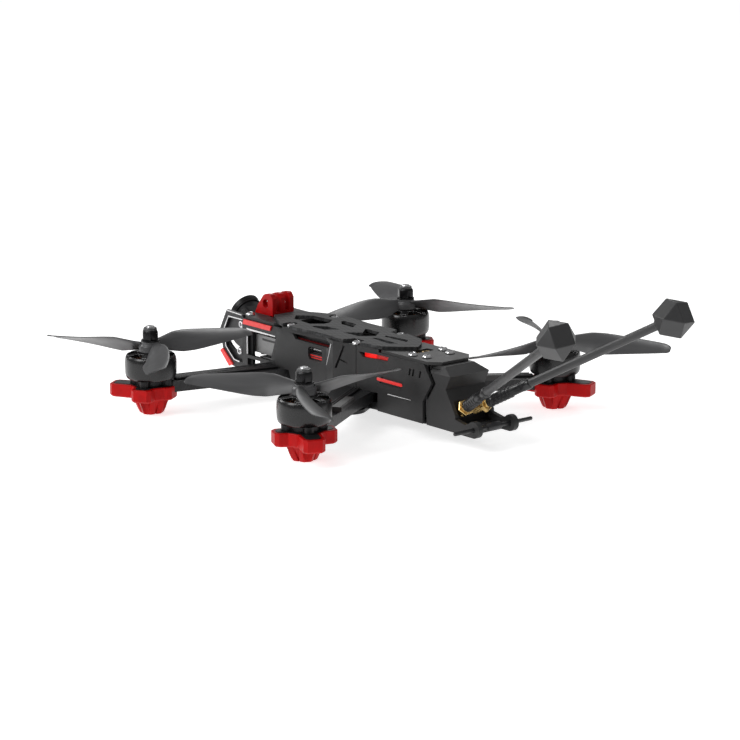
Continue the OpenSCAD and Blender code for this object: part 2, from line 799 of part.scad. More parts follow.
module antenna_nuts() {
    color("#b8934a") for (side = [1, -1]) on_side(side) in_antenna() {
        translate([0, 0, -1.2]) cylinder(d = 8 / cos(30), h = 2.6, $fn = 6);
        translate([0, 0, -9]) cylinder(r = 3.15, h = 7.85);
        translate([0, 0, 1.4]) cylinder(r = 3.2, h = 1.6);
    }
}

base_len = 31;

module antenna(side) {
    color("#6d6f71") on_side(side) in_antenna() {
        // Grip with ribs, then the flat-sided tube
        translate([0, 0, 3.05]) cylinder(r = 2.75, h = base_len - 3.05);
        translate([0, 0, 3.05]) cylinder(r = 3.25, h = 2.4);
        for (i = [0:3]) translate([0, 0, 6.6 + i * 2.4]) cylinder(r = 3.25, h = 1.4);
        translate([0, 0, base_len - 0.01]) cylinder(r = 2.3, h = antenna_len - base_len - 3, $fn = 8);
    }
}

// A cube cut back to the middle of each edge
module faceted_head() {
    face = head_edge * sqrt(2 / 3);
    difference() {
        cube(head_edge * sqrt(2), center = true);
        for (turn = [45:90:315], tip = [54.7356, 125.2644])
            rotate([0, tip, turn]) translate([-20, -20, face]) cube([40, 40, 20]);
    }
}

module antenna_heads() {
    color("#7d7f81") for (side = [1, -1]) on_side(side) in_antenna() translate([0, 0, antenna_len])
        difference() {
            rotate(45 + 8.5) faceted_head();
            translate([0, 0, -20]) cylinder(r = 2.36, h = 17.3, $fn = 8);
        }
}

module receiver_antenna() {
    color("#18181a") translate([0, lug[0], lug[1]]) rotate([0, 90, 0]) {
        cylinder(r = 1.15, h = 54, center = true, $fn = 24);
        cylinder(r = 2.2, h = 9, center = true, $fn = 24);
    }
}

// ---------------------------------------------------------------- inside

board_t = 1.6;
board_side = 30;
esc_z = 15.4;
fc_z = 22.6;

module board(z) {
    translate([0, stack_y, z]) linear_extrude(board_t) difference() {
        rounded_rect([board_side, board_side], 3);
        translate([0, -stack_y]) stack_holes(1.85);
    }
}

module speed_controller() {
    color("#1d2b22") {
        board(esc_z);
        // Power transistors and the input filter
        for (x = [-10.2, -3.4, 3.4, 10.2], y = [-7.4, 0, 7.4])
            translate([x - 2.2, stack_y + y - 2.2, esc_z + board_t - 0.01]) cube([4.4, 4.4, 1.1]);
    }
}

module flight_controller() {
    color("#1b2530") {
        board(fc_z);
        translate([-4.5, stack_y - 4.5, fc_z + board_t - 0.01]) cube([9, 9, 1.2]);
        translate([6.5, stack_y - 3, fc_z + board_t - 0.01]) cube([4.4, 4.4, 1]);
        translate([-4.5, stack_y + 9.6, fc_z + board_t - 0.01]) cube([9, 4.6, 2.8]);
        translate([-5, stack_y - 14, fc_z + board_t - 0.01]) cube([10, 4, 3]);
    }
}

module stack_mounts() {
    color("silver") for (x = [-1, 1], y = [-1, 1])
        translate([x * stack_pitch / 2, stack_y + y * stack_pitch / 2, 0]) {
            translate([0, 0, 0.05]) cylinder(r1 = 1.95, r2 = 1, h = 0.95);
            translate([0, 0, 0.99]) cylinder(r = 1, h = 26);
            translate([0, 0, clamp_top]) cylinder(r = 2.2, h = esc_z - clamp_top - 0.05);
            translate([0, 0, esc_z + board_t + 0.05]) cylinder(r = 1.9, h = fc_z - esc_z - board_t - 0.1);
            translate([0, 0, fc_z + board_t + 0.05]) cylinder(r = 2, h = 1.6);
        }
}

module video_transmitter() {
    color("#b9bbbd") difference() {
        union() {
            translate([-13, -76.2, 13.4]) cube([26, 25, 10.6]);
            for (x = [-9, 9], y = [-72, -57]) translate([x, y, clamp_top]) cylinder(r = 2, h = 1.5);
        }
        for (x = [-14, 12]) translate([x, -68.4, 21.1]) cube([2, 11.7, 1.3]);
        for (i = [0:7]) translate([-10, -74 + i * 2.7, 22.6]) cube([20, 1.3, 3]);
    }
}

module receiver() {
    color("#2c2f36") {
        translate([-5, 62, 9]) cube([10, 20, 1.2]);
        translate([-3.8, 66, 10.19]) cube([7.6, 9, 2]);
    }
}

module capacitor() {
    color("#26324a") translate([0, 34, 9.4]) rotate([-90, 0, 0]) {
        cylinder(r = 5, h = 21);
        translate([-2.5, 0, -2]) cylinder(r = 0.35, h = 2.01, $fn = 16);
        translate([2.5, 0, -2]) cylinder(r = 0.35, h = 2.01, $fn = 16);
    }
}

module power_gland() {
    color("#a8833c") translate([0, lead_y, 0]) {
        for (x = [-3.6, 3.6]) translate([x, 0, 27]) difference() {
            cylinder(r = 2.3, h = 6.6);
            translate([0, 0, 1]) cylinder(r = 1.5, h = 7);
        }
        translate([0, 0, 25]) linear_extrude(2.2) rounded_rect([17, 9], 1.6);
    }
}

// ---------------------------------------------------------------- lights and fasteners

NOSE_LIGHT = [[-101.9, 10.4], [-99.7, 12], [-90, 4.1], [-93.4, 2.5]];

module body_lights() {
    color("#e8402f") for (side = [1, -1]) on_side(side) {
        translate([nose_half_w + 0.05, 0, 0]) yz_plate(0.8) {
            polygon([[-80, 29.5], [-79, 32.3], [-53.5, 32.3], [-54.6, 29.5]]);
            polygon(NOSE_LIGHT);
        }
        translate([12, 0, 0]) yz_plate(1) polygon([[23, 32], [46.8, 32], [45.4, 28], [25, 27.4]]);
        translate([15.9, 0, 0]) yz_plate(0.8) polygon([[-20.5, 19], [-6, 19], [-6, 22.6], [-20.5, 22.6]]);
    }
}

light_len = 24;

module arm_lights() {
    for (c = [RL, RR]) on_side(c[0]) {
        edge = left_motor(c) - arm_dir(c) * 54 + across(arm_dir(c)) * (arm_w / 2 - 4.6);
        translate(concat(edge, clamp_z + 0.03)) rotate(atan2(arm_dir(c)[1], arm_dir(c)[0])) {
            color("#c9cbcc") cube([light_len, 4.6, 3]);
            color("#e8402f") translate([0.8, 4.59, 0.3]) cube([light_len - 1.6, 0.7, 2.4]);
        }
    }
}

module standoffs() {
    color("#8d8f92") for (side = [-1, 1], p = deck_posts) translate([side * p[0], p[1], 0]) difference() {
        union() {
            translate([0, 0, brace_t]) cylinder(r = 2.5, h = deck_low - brace_t);
            // Stud that is pressed into the bottom plate
            translate([0, 0, 0.05]) cylinder(r = screw_r, h = brace_t);
        }
        translate([0, 0, deck_z - 12]) cylinder(r = screw_r + 0.02, h = 20);
    }
}

module top_screw(length) {
    difference() {
        screw_head();
        translate([0, 0, 0.7]) cylinder(r = 1.15, h = 2, $fn = 6);
    }
    translate([0, 0, -length]) cylinder(r = screw_r, h = length + 0.01);
}

module sunk_screw(length) {
    difference() {
        cylinder(r1 = sunk_r, r2 = screw_r, h = sunk_h);
        translate([0, 0, -1]) cylinder(r = 1.15, h = 1.8, $fn = 6);
    }
    translate([0, 0, sunk_h - 0.01]) cylinder(r = screw_r, h = length - sunk_h);
}

module deck_screws() {
    color("silver") for (side = [-1, 1]) {
        for (y = post_y) translate([side * post_x, y, deck_z]) top_screw(9);
        for (p = deck_posts) translate([side * p[0], p[1], deck_z]) top_screw(9);
        translate([side * nose_screw[0], nose_screw[1], deck_z]) top_screw(deck_t);
    }
}

module frame_screws() {
    color("#3a3a3c") {
        for (c = CORNERS, k = [-1, 1]) on_side(c[0])
            translate(concat(root_bolt(c, k), 0.08)) sunk_screw(clamp_top - 0.1);
        for (c = CORNERS) on_side(c[0]) for (a = [45:90:315])
            translate(concat(left_motor(c), arm_z)) rotate(turn_of(c) + a)
                translate([motor_bolt_r, 0, 0]) mirror([0, 0, 1]) top_screw(arm_t + 1.3);
    }
}

// ---------------------------------------------------------------- nodes

bottom_plate();
arm_brace();
clamp_plate();
arm(FL);  // arm_front_left
arm(FR);  // arm_front_right
arm(RL);  // arm_rear_left
arm(RR);  // arm_rear_right
foot(FL);  // foot_front_left
foot(FR);  // foot_front_right
foot(RL);  // foot_rear_left
foot(RR);  // foot_rear_right
motor_bases();
stators();
motor_wires();
bell(FL);  // bell_front_left
bell(FR);  // bell_front_right
bell(RL);  // bell_rear_left
bell(RR);  // bell_rear_right
propeller(FL, rest_turn[0]);  // propeller_front_left
propeller(FR, rest_turn[1]);  // propeller_front_right
propeller(RL, rest_turn[2]);  // propeller_rear_left
propeller(RR, rest_turn[3]);  // propeller_rear_right
prop_nut(FL);  // prop_nut_front_left
prop_nut(FR);  // prop_nut_front_right
prop_nut(RL);  // prop_nut_rear_left
prop_nut(RR);  // prop_nut_rear_right
camera_cage(1);  // camera_cage_left
camera_cage(-1);  // camera_cage_right
camera_cheeks();
camera_pivot_screws();
camera_housing();
camera_cradle();
camera_lens();
camera_slot_screws();
side_panel(1);  // side_panel_left
side_panel(-1);  // side_panel_right
rear_panel(1);  // rear_panel_left
rear_panel(-1);  // rear_panel_right
front_deck();
top_plate();
rear_deck();
tail_block();
action_camera_mount();
antenna_nuts();
antenna(1);  // antenna_left
antenna(-1);  // antenna_right
antenna_heads();
receiver_antenna();
speed_controller();
flight_controller();
stack_mounts();
video_transmitter();
receiver();
capacitor();
power_gland();
body_lights();
arm_lights();
standoffs();
deck_screws();
frame_screws();
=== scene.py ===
"""FPV racing drone: looks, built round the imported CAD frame. Metres, nose to -Y, left to +X, up +Z."""
import json
import math

import bmesh
import bpy
from mathutils import Matrix, Vector


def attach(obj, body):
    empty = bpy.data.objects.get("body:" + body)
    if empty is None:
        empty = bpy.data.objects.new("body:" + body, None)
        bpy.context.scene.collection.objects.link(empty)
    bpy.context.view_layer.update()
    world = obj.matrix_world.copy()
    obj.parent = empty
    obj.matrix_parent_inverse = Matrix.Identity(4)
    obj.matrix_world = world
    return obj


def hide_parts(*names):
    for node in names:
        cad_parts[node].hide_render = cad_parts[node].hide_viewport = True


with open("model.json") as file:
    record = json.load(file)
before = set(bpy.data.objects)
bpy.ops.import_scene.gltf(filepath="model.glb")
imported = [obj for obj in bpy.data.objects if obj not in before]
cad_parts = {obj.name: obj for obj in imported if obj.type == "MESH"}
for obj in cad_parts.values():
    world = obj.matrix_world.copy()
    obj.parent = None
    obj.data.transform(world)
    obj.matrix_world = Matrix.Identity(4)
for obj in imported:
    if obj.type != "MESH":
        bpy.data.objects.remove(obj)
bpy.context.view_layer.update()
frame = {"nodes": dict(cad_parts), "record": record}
MM = 0.001
NODES = frame["nodes"]


# ------------------------------------------------------------------ shader graph helper

class Graph:
    """A material whose nodes are chained with short calls. Lengths in node maths are metres."""

    def __init__(self, name, base=(0.5, 0.5, 0.5), rough=0.5, metal=0.0, **sockets):
        self.mat = bpy.data.materials.new(name)
        self.mat.use_nodes = True
        self.tree = self.mat.node_tree
        self.bsdf = self.tree.nodes["Principled BSDF"]
        self.place = self.tree.nodes.new("ShaderNodeTexCoord").outputs["Object"]
        self.mat.diffuse_color = (*base, 1)
        self.set("Base Color", (*base, 1))
        self.set("Roughness", rough)
        self.set("Metallic", metal)
        for key, value in sockets.items():
            self.set(key.replace("_", " "), value)

    def set(self, socket, value):
        target = self.bsdf.inputs[socket]
        if isinstance(value, bpy.types.NodeSocket):
            self.tree.links.new(value, target)
        else:
            target.default_value = value

    def feed(self, node, index, value):
        if isinstance(value, bpy.types.NodeSocket):
            self.tree.links.new(value, node.inputs[index])
        elif value is not None:
            node.inputs[index].default_value = value

    def math(self, op, a, b=None, c=None):
        node = self.tree.nodes.new("ShaderNodeMath")
        node.operation = op
        for i, value in enumerate((a, b, c)):
            self.feed(node, i, value)
        return node.outputs[0]

    def axes(self):
        node = self.tree.nodes.new("ShaderNodeSeparateXYZ")
        self.feed(node, 0, self.place)
        return node.outputs

    def stretched(self, scale):
        node = self.tree.nodes.new("ShaderNodeMapping")
        self.feed(node, 0, self.place)
        node.inputs["Scale"].default_value = scale
        return node.outputs[0]

    def noise(self, scale, detail=3.0, rough=0.55, vector=None):
        node = self.tree.nodes.new("ShaderNodeTexNoise")
        self.feed(node, 0, vector or self.place)
        node.inputs["Scale"].default_value = scale
        node.inputs["Detail"].default_value = detail
        node.inputs["Roughness"].default_value = rough
        return node.outputs[0]

    def cells(self, scale):
        node = self.tree.nodes.new("ShaderNodeTexVoronoi")
        self.feed(node, 0, self.place)
        node.inputs["Scale"].default_value = scale
        return node.outputs["Distance"]

    def ramp(self, value, low, high, out_low=0.0, out_high=1.0):
        node = self.tree.nodes.new("ShaderNodeMapRange")
        for i, v in enumerate((value, low, high, out_low, out_high)):
            self.feed(node, i, v)
        node.clamp = True
        return node.outputs[0]

    def mix(self, factor, a, b):
        node = self.tree.nodes.new("ShaderNodeMix")
        node.data_type = "RGBA"
        self.feed(node, 0, factor)
        for index, value in ((6, a), (7, b)):
            if not isinstance(value, bpy.types.NodeSocket):
                value = (*value, 1)
            self.feed(node, index, value)
        return node.outputs[2]

    def bump(self, height, distance, strength):
        node = self.tree.nodes.new("ShaderNodeBump")
        node.inputs["Strength"].default_value = strength
        node.inputs["Distance"].default_value = distance
        self.feed(node, node.inputs.find("Height"), height)
        return node.outputs[0]

    def waves(self, coordinate, pitch):
        """0..1 and back once every pitch metres."""
        turns = self.math("MULTIPLY", coordinate, 2 * math.pi / pitch)
        return self.math("MULTIPLY_ADD", self.math("SINE", turns), 0.5, 0.5)


# ------------------------------------------------------------------ materials

def carbon(name, tow, dark, light, rough, coat, contrast=1.0, bump=0.00006):
    """Two-by-two twill: tows run along X and Y, with fine fibres along each. The colour holds a painted sheen: the
    tows of one direction are painted lighter than those of the other, and each tow lighter on its crown.
    """
    # dark is the fibre colour; light is the colour of the painted sheen on the tows that catch the light.
    g = Graph(name, dark, rough, 0.0, Coat_Weight=coat, Coat_Roughness=0.12, Specular_IOR_Level=0.25)
    x, y, z = g.axes()
    along = g.math("ADD", x, g.math("MULTIPLY", z, 0.6))
    u = g.math("DIVIDE", along, tow)
    v = g.math("DIVIDE", y, tow)
    step = g.math("ADD", g.math("FLOOR", u), g.math("FLOOR", v))
    quarter = g.math("DIVIDE", step, 4.0)
    over = g.math("LESS_THAN", g.math("FRACT", quarter), 0.5)
    across_u = g.math("PINGPONG", u, 0.5)
    across_v = g.math("PINGPONG", v, 0.5)
    crown = g.math("ADD", g.math("MULTIPLY", over, across_u),
                   g.math("MULTIPLY", g.math("SUBTRACT", 1.0, over), across_v))
    crown = g.math("SMOOTH_MIN", g.math("MULTIPLY", crown, 2.0), 0.8, 0.3)
    fine_u = g.noise(1.0, 2, 0.6, g.stretched((9000, 500, 500)))
    fine_v = g.noise(1.0, 2, 0.6, g.stretched((500, 9000, 500)))
    fibre = g.math("ADD", g.math("MULTIPLY", over, fine_u),
                   g.math("MULTIPLY", g.math("SUBTRACT", 1.0, over), fine_v))
    patch = g.noise(60, 3)
    # Painted sheen and shade: tows of one direction lighter, each tow lightest on its crown and darker where it
    # dips under its neighbour; the fibre and patch noise are real variation of the weave.
    sheen_and_fibre = g.math("MULTIPLY", crown, g.math("ADD", 0.35, g.math("MULTIPLY", over, 0.5)))
    sheen_and_fibre = g.math("ADD", g.math("MULTIPLY", sheen_and_fibre, 0.75), g.math("MULTIPLY", fibre, 0.35))
    sheen_and_fibre = g.math("MULTIPLY", sheen_and_fibre, g.ramp(patch, 0.3, 0.7, 0.8 * contrast, 1.15 * contrast))
    g.set("Base Color", g.mix(sheen_and_fibre, dark, light))
    g.set("Roughness", g.math("ADD", rough - 0.08, g.math("MULTIPLY", fibre, 0.2)))
    height = g.math("ADD", g.math("MULTIPLY", crown, 0.7), g.math("MULTIPLY", fibre, 0.3))
    g.set("Normal", g.bump(height, bump, 0.7))
    return g.mat


def moulded(name, base, rough, grain=0.00003, scale=2600, spread=0.12, **sockets):
    """Fine-grained moulded plastic with faint handling marks."""
    g = Graph(name, base, rough, 0.0, **sockets)
    broad = g.noise(45, 4)
    fine = g.noise(scale, 2, 0.6)
    darker = tuple(c * (1 - spread) for c in base)
    lighter = tuple(min(1, c * (1 + spread) + 0.004) for c in base)
    g.set("Base Color", g.mix(g.ramp(broad, 0.3, 0.7), darker, lighter))
    rub = g.math("MULTIPLY", g.noise(160, 5, 0.7), 0.22)
    g.set("Roughness", g.math("ADD", rough - 0.11, rub))
    g.set("Normal", g.bump(fine, grain, 0.8))
    return g.mat


def printed(name, base, rough):
    """Flexible printed plastic: layer lines up the part, a slightly waxy depth of colour."""
    g = Graph(name, base, rough, 0.0, Specular_IOR_Level=0.16)
    z = g.axes()[2]
    wobble = g.math("MULTIPLY", g.noise(90, 3), 0.0003)
    layers = g.waves(g.math("ADD", z, wobble), 0.00028)
    blotch = g.ramp(g.noise(120, 4), 0.3, 0.7)
    g.set("Base Color", g.mix(blotch, tuple(c * 0.82 for c in base), tuple(min(1, c * 1.15) for c in base)))
    g.set("Roughness", g.math("ADD", rough - 0.05, g.math("MULTIPLY", layers, 0.12)))
    rough_skin = g.math("ADD", layers, g.math("MULTIPLY", g.noise(3000, 2), 0.6))
    g.set("Normal", g.bump(rough_skin, 0.00002, 0.5))
    return g.mat


def turned(name, base, rough, metal=1.0, pitch=0.00022, depth=0.00001, axis="Z", **sockets):
    """Turned or drawn metal with fine lines square to its axis, and faint stains."""
    g = Graph(name, base, rough, metal, **sockets)
    line = g.waves(g.axes()["XYZ".index(axis)], pitch)
    stain = g.ramp(g.noise(220, 5, 0.65), 0.3, 0.75)
    g.set("Base Color", g.mix(stain, tuple(c * 0.8 for c in base), tuple(min(1, c * 1.12) for c in base)))
    g.set("Roughness", g.math("ADD", rough - 0.06, g.math("MULTIPLY", stain, 0.14)))
    g.set("Normal", g.bump(g.math("ADD", line, g.math("MULTIPLY", stain, 0.5)), depth, 0.6))
    return g.mat


def blade_plastic(name, base):
    """Satin smoked plastic: faint flow marks along the blade, and small scuffs that dull it."""
    g = Graph(name, base, 0.36, 0.0, Specular_IOR_Level=0.4)
    flow = g.ramp(g.noise(1.0, 3, 0.5, g.stretched((40, 40, 400))), 0.3, 0.7)
    g.set("Base Color", g.mix(flow, tuple(c * 0.88 for c in base), tuple(c * 1.12 for c in base)))
    g.set("Roughness", g.ramp(g.noise(120, 3), 0.3, 0.8, 0.33, 0.42))
    g.set("Normal", g.bump(g.noise(4000, 2), 0.000002, 0.3))
    return g.mat


def glowing(name, base, strength, pitch):
    """A lit strip: an even red diffuser, a touch brighter over each lamp behind it."""
    g = Graph(name, base, 0.35, 0.0, Coat_Weight=0.2)
    x, y = g.axes()[:2]
    spot = g.math("MULTIPLY", g.waves(g.math("ADD", y, g.math("MULTIPLY", x, 0.3)), pitch), 0.3)
    hot = g.mix(spot, tuple(c * 0.95 for c in base), tuple(min(1, c * 1.1 + 0.004) for c in base))
    g.set("Base Color", hot)
    g.set("Emission Color", hot)
    g.set("Emission Strength", strength)
    g.set("Roughness", g.ramp(g.noise(700, 3), 0.3, 0.7, 0.3, 0.5))
    g.set("Normal", g.bump(g.noise(1500, 2), 0.00002, 0.5))
    return g.mat


def board(name, base):
    """Solder mask over copper tracks."""
    g = Graph(name, base, 0.35, 0.0, Coat_Weight=0.4, Coat_Roughness=0.2)
    x, y = g.axes()[:2]
    bent = g.math("ADD", x, g.math("MULTIPLY", g.math("SNAP", y, 0.003), 0.37))
    track = g.math("GREATER_THAN", g.waves(bent, 0.0011), 0.72)
    pads = g.math("LESS_THAN", g.cells(620), 0.22)
    mask = g.mix(g.math("MULTIPLY", track, 0.55), base, tuple(min(1, c * 2.2 + 0.01) for c in base))
    g.set("Base Color", g.mix(g.math("MULTIPLY", pads, 0.8), mask, (0.55, 0.5, 0.4)))
    g.set("Metallic", g.math("MULTIPLY", pads, 0.8))
    g.set("Normal", g.bump(track, 0.00003, 0.8))
    return g.mat


M = {
    # Carbon: the second colour of each is the painted sheen on the weave.
    "carbon": carbon("carbon_cut", 0.0019, (0.006, 0.006, 0.0065), (0.034, 0.034, 0.036), 0.40, 0.2, 0.8),
    "carbon_top": carbon("carbon_twill", 0.0021, (0.005, 0.005, 0.0055), (0.085, 0.086, 0.088), 0.55, 0.0),
    "red_rubber": printed("red_printed", (0.43, 0.0012, 0.0016), 0.42),
    "motor_base": turned("motor_base_black", (0.010, 0.010, 0.011), 0.32, 0.6),
    "copper": turned("windings", (0.50, 0.22, 0.08), 0.35, 1.0, 0.0006, 0.00012),
    "wire": moulded("wire_sleeve", (0.010, 0.010, 0.011), 0.42, 0.00002, 1800),
    "bell": turned("bell_black", (0.006, 0.006, 0.0065), 0.28, 0.2, 0.0004, 0.00001, Coat_Weight=0.12),
    "propeller": blade_plastic("smoked_blade", (0.062, 0.062, 0.064)),
    "lock_nut": turned("nut_black", (0.014, 0.014, 0.015), 0.3, 0.7),
    "cheek": moulded("inner_black", (0.012, 0.012, 0.013), 0.42),
    "bright_screw": turned("bright_steel", (0.62, 0.62, 0.63), 0.24, 1.0, 0.0003, 0.00001),
    "camera_case": moulded("camera_black", (0.006, 0.006, 0.007), 0.5, Specular_IOR_Level=0.2),
    "lens": moulded("lens_black", (0.004, 0.004, 0.005), 0.4, 0.00001, Specular_IOR_Level=0.25),
    "shell": moulded("shell_grey", (0.026, 0.026, 0.0265), 0.44, 0.00003, 2400, 0.1, Specular_IOR_Level=0.25),
    "connector": turned("gold_brass", (0.72, 0.50, 0.20), 0.24, 1.0, 0.0005, 0.00004),
    "antenna": moulded("antenna_grey", (0.030, 0.030, 0.031), 0.42),
    "antenna_head": moulded("head_grey", (0.026, 0.026, 0.027), 0.42),
    "whisker": moulded("whisker_black", (0.010, 0.010, 0.011), 0.4),
    "esc_board": board("esc_mask", (0.008, 0.02, 0.012)),
    "fc_board": board("fc_mask", (0.006, 0.010, 0.022)),
    "vtx_case": turned("blasted_aluminium", (0.30, 0.30, 0.30), 0.5, 0.9, 0.0009, 0.00003),
    "receiver_board": board("receiver_mask", (0.012, 0.013, 0.018)),
    "capacitor_can": moulded("capacitor_sleeve", (0.012, 0.02, 0.06), 0.25),
    "terminal": turned("gold_terminal", (0.72, 0.52, 0.24), 0.26, 1.0),
    "light": glowing("red_light", (0.62, 0.022, 0.020), 0.32, 0.0052),
    "light_block": moulded("diffuser", (0.022, 0.020, 0.020), 0.36),
    "standoff": turned("standoff_grey", (0.12, 0.12, 0.125), 0.35, 1.0),
    "collar": moulded("nut_collar", (0.055, 0.056, 0.058), 0.38),
    "magnet": turned("magnet_nickel", (0.12, 0.12, 0.125), 0.4),
    "grip": moulded("grip_black", (0.007, 0.007, 0.008), 0.3),
    "ember": moulded("ember_red", (0.11, 0.003, 0.003), 0.4),
    "lamp": glowing("inner_lamp", (0.80, 0.012, 0.010), 1.0, 0.0052),
    # Near-white strips and bevels along edges: painted highlights.
    "edge": moulded("painted_highlight_white", (0.78, 0.78, 0.79), 0.35, 0.00001),
    "glass": moulded("lens_glass", (0.004, 0.004, 0.012), 0.05, 0.000002, Coat_Weight=1.0),
    "dark_screw": turned("black_steel", (0.03, 0.03, 0.032), 0.35, 0.95),
}
SLOT_OF = {row["node"]: row["material_slot"] for row in frame["record"]["subparts"]}
for node_name, node_object in NODES.items():
    node_object.data.materials.clear()
    node_object.data.materials.append(M[SLOT_OF[node_name]])


# ------------------------------------------------------------------ mesh helpers, in millimetres

TAU = 2 * math.pi


def publish(name, bm, materials, body, stands_for=(), at=None, smooth=35, mirror=False, bevel=0.0):
    """Makes a piece from a bmesh drawn in millimetres, and lets it ride on a body."""
    if mirror:
        bmesh.ops.scale(bm, vec=(-1, 1, 1), verts=bm.verts)
    bmesh.ops.scale(bm, vec=(MM, MM, MM), verts=bm.verts)
    bmesh.ops.recalc_face_normals(bm, faces=bm.faces)
    mesh = bpy.data.meshes.new(name)
    bm.to_mesh(mesh)
    bm.free()
    for material in materials if isinstance(materials, list) else [materials]:
        mesh.materials.append(material)
    mesh.shade_smooth()
    mesh.set_sharp_from_angle(angle=math.radians(smooth))
    obj = bpy.data.objects.new(name, mesh)
    if at is not None:
        obj.matrix_world = at
    bpy.context.scene.collection.objects.link(obj)
    bpy.context.view_layer.update()
    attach(obj, body)
    if stands_for:
        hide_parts(*stands_for)
    if bevel:
        soften(obj, bevel * MM, 2)
    return obj


def soften(obj, width, segments=2, angle=30, material=-1):
    """Rounds sharp edges by a modifier, so a CAD node's own mesh stays as it is."""
    mod = obj.modifiers.new("edge", "BEVEL")
    mod.width = width
    mod.segments = segments
    mod.limit_method = "ANGLE"
    mod.angle_limit = math.radians(angle)
    mod.material = material
    mod.use_clamp_overlap = True


def skin(bm, rings, matrix=None):
    """Quads between rings of vertices, capped at both ends. A ring of one point is an apex."""
    made = []
    for ring in rings:
        made.append([bm.verts.new(matrix @ Vector(p) if matrix else p) for p in ring])
    for a, b in zip(made, made[1:]):
        n = max(len(a), len(b))
        for i in range(n):
            j = (i + 1) % n
            if len(a) == 1:
                bm.faces.new((a[0], b[i], b[j]))
            elif len(b) == 1:
                bm.faces.new((a[i], a[j], b[0]))
            else:
                bm.faces.new((a[i], a[j], b[j], b[i]))
    for ring in (made[0], made[-1]):
        if len(ring) > 2:
            bm.faces.new(ring)


def circle(r, z, n):
    if r < 1e-6:
        return [(0, 0, z)]
    return [(r * math.cos(TAU * i / n), r * math.sin(TAU * i / n), z) for i in range(n)]


def lathe(bm, profile, n=64, matrix=None, loop=False):
    """A turned shape. With loop, the profile closes on itself, as for a tube."""
    if not loop:
        skin(bm, [circle(r, z, n) for r, z in profile], matrix)
        return
    rings = [[bm.verts.new(matrix @ Vector(p) if matrix else p) for p in circle(r, z, n)] for r, z in profile]
    for a, b in zip(rings, rings[1:] + rings[:1]):
        for i in range(n):
            j = (i + 1) % n
            bm.faces.new((a[i], a[j], b[j], b[i]))


def slab(bm, outline, z0, z1, matrix=None, edge=0.0):
    """A plate of any outline, with its rims eased by edge."""
    def inset(d):
        out = []
        n = len(outline)
        for i, p in enumerate(outline):
            a = Vector(outline[i - 1])
            b = Vector(p)
            c = Vector(outline[(i + 1) % n])
            n1 = Vector((b.y - a.y, a.x - b.x)).normalized()
            n2 = Vector((c.y - b.y, b.x - c.x)).normalized()
            m = n1 + n2
            if m.length < 1e-6:
                out.append(tuple(b))
                continue
            m.normalize()
            out.append(tuple(b - m * (d / max(0.35, m.dot(n1)))))
        return out

    area = sum(a[0] * b[1] - b[0] * a[1] for a, b in zip(outline, outline[1:] + outline[:1]))
    sign = 1 if area > 0 else -1
    if edge:
        small = inset(sign * edge)
        rings = [[(*p, z0) for p in small], [(*p, z0 + edge) for p in outline],
                 [(*p, z1 - edge) for p in outline], [(*p, z1) for p in small]]
    else:
        rings = [[(*p, z0) for p in outline], [(*p, z1) for p in outline]]
    skin(bm, rings, matrix)


def box_mm(bm, low, high, matrix=None, edge=0.0):
    outline = [(low[0], low[1]), (high[0], low[1]), (high[0], high[1]), (low[0], high[1])]
    slab(bm, outline, low[2], high[2], matrix, edge)


def tube(bm, points, r, n):
    """A round tube along points, with its frame carried along so that it never twists."""
    points = [Vector(p) for p in points]
    rings = []
    up = None
    for i, p in enumerate(points):
        ahead = points[min(i + 1, len(points) - 1)] - points[max(i - 1, 0)]
        ahead.normalize()
        side = ahead.cross(up if up is not None else Vector((0.13, 0.21, 0.97)))
        if side.length < 1e-5:
            side = ahead.cross(Vector((1, 0, 0)))
        side.normalize()
        up = side.cross(ahead).normalized()
        rings.append([p + side * (r * math.cos(TAU * k / n)) + up * (r * math.sin(TAU * k / n)) for k in range(n)])
    skin(bm, rings)


def fused(bm_parts, operation="UNION"):
    """The first bmesh with the others added to it or cut from it, in millimetres."""
    objects = []
    for i, bm in enumerate(bm_parts):
        bmesh.ops.recalc_face_normals(bm, faces=bm.faces)
        mesh = bpy.data.meshes.new(f"work_{i}")
        bm.to_mesh(mesh)
        bm.free()
        obj = bpy.data.objects.new(f"work_{i}", mesh)
        bpy.context.scene.collection.objects.link(obj)
        objects.append(obj)
    base = objects[0]
    for other in objects[1:]:
        mod = base.modifiers.new("cut", "BOOLEAN")
        mod.operation = operation
        mod.solver = "EXACT"
        mod.object = other
    bpy.context.view_layer.update()
    result = bmesh.new()
    evaluated = base.evaluated_get(bpy.context.evaluated_depsgraph_get())
    result.from_mesh(evaluated.to_mesh())
    evaluated.to_mesh_clear()
    for obj in objects:
        mesh = obj.data
        bpy.data.objects.remove(obj)
        bpy.data.meshes.remove(mesh)
    bmesh.ops.dissolve_degenerate(result, dist=1e-5, edges=result.edges)
    return result


def painted_highlight_strip(bm, points, width, proud=0.05, end=1.0):
    """A thin strip standing proud of a side face through (x, y, z) points, tapering to end at its far end; drawn
    in the near-white material it is a painted highlight line.
    """
    points = [Vector(p) for p in points]
    last = len(points) - 1
    rings = []
    for i, p in enumerate(points):
        ahead = (points[min(i + 1, last)] - points[max(i - 1, 0)]).normalized()
        across = ahead.cross(Vector((1, 0, 0))).normalized() * (width / 2 * (1 + (end - 1) * i / last))
        if 0 < i < last:
            before = (p - points[i - 1]).normalized()
            across /= max(0.5, abs(before.dot(ahead)))
        out, into = Vector((proud, 0, 0)), Vector((-0.25, 0, 0))
        rings.append([p + across + into, p + across + out, p - across + out, p - across + into])
    skin(bm, rings)


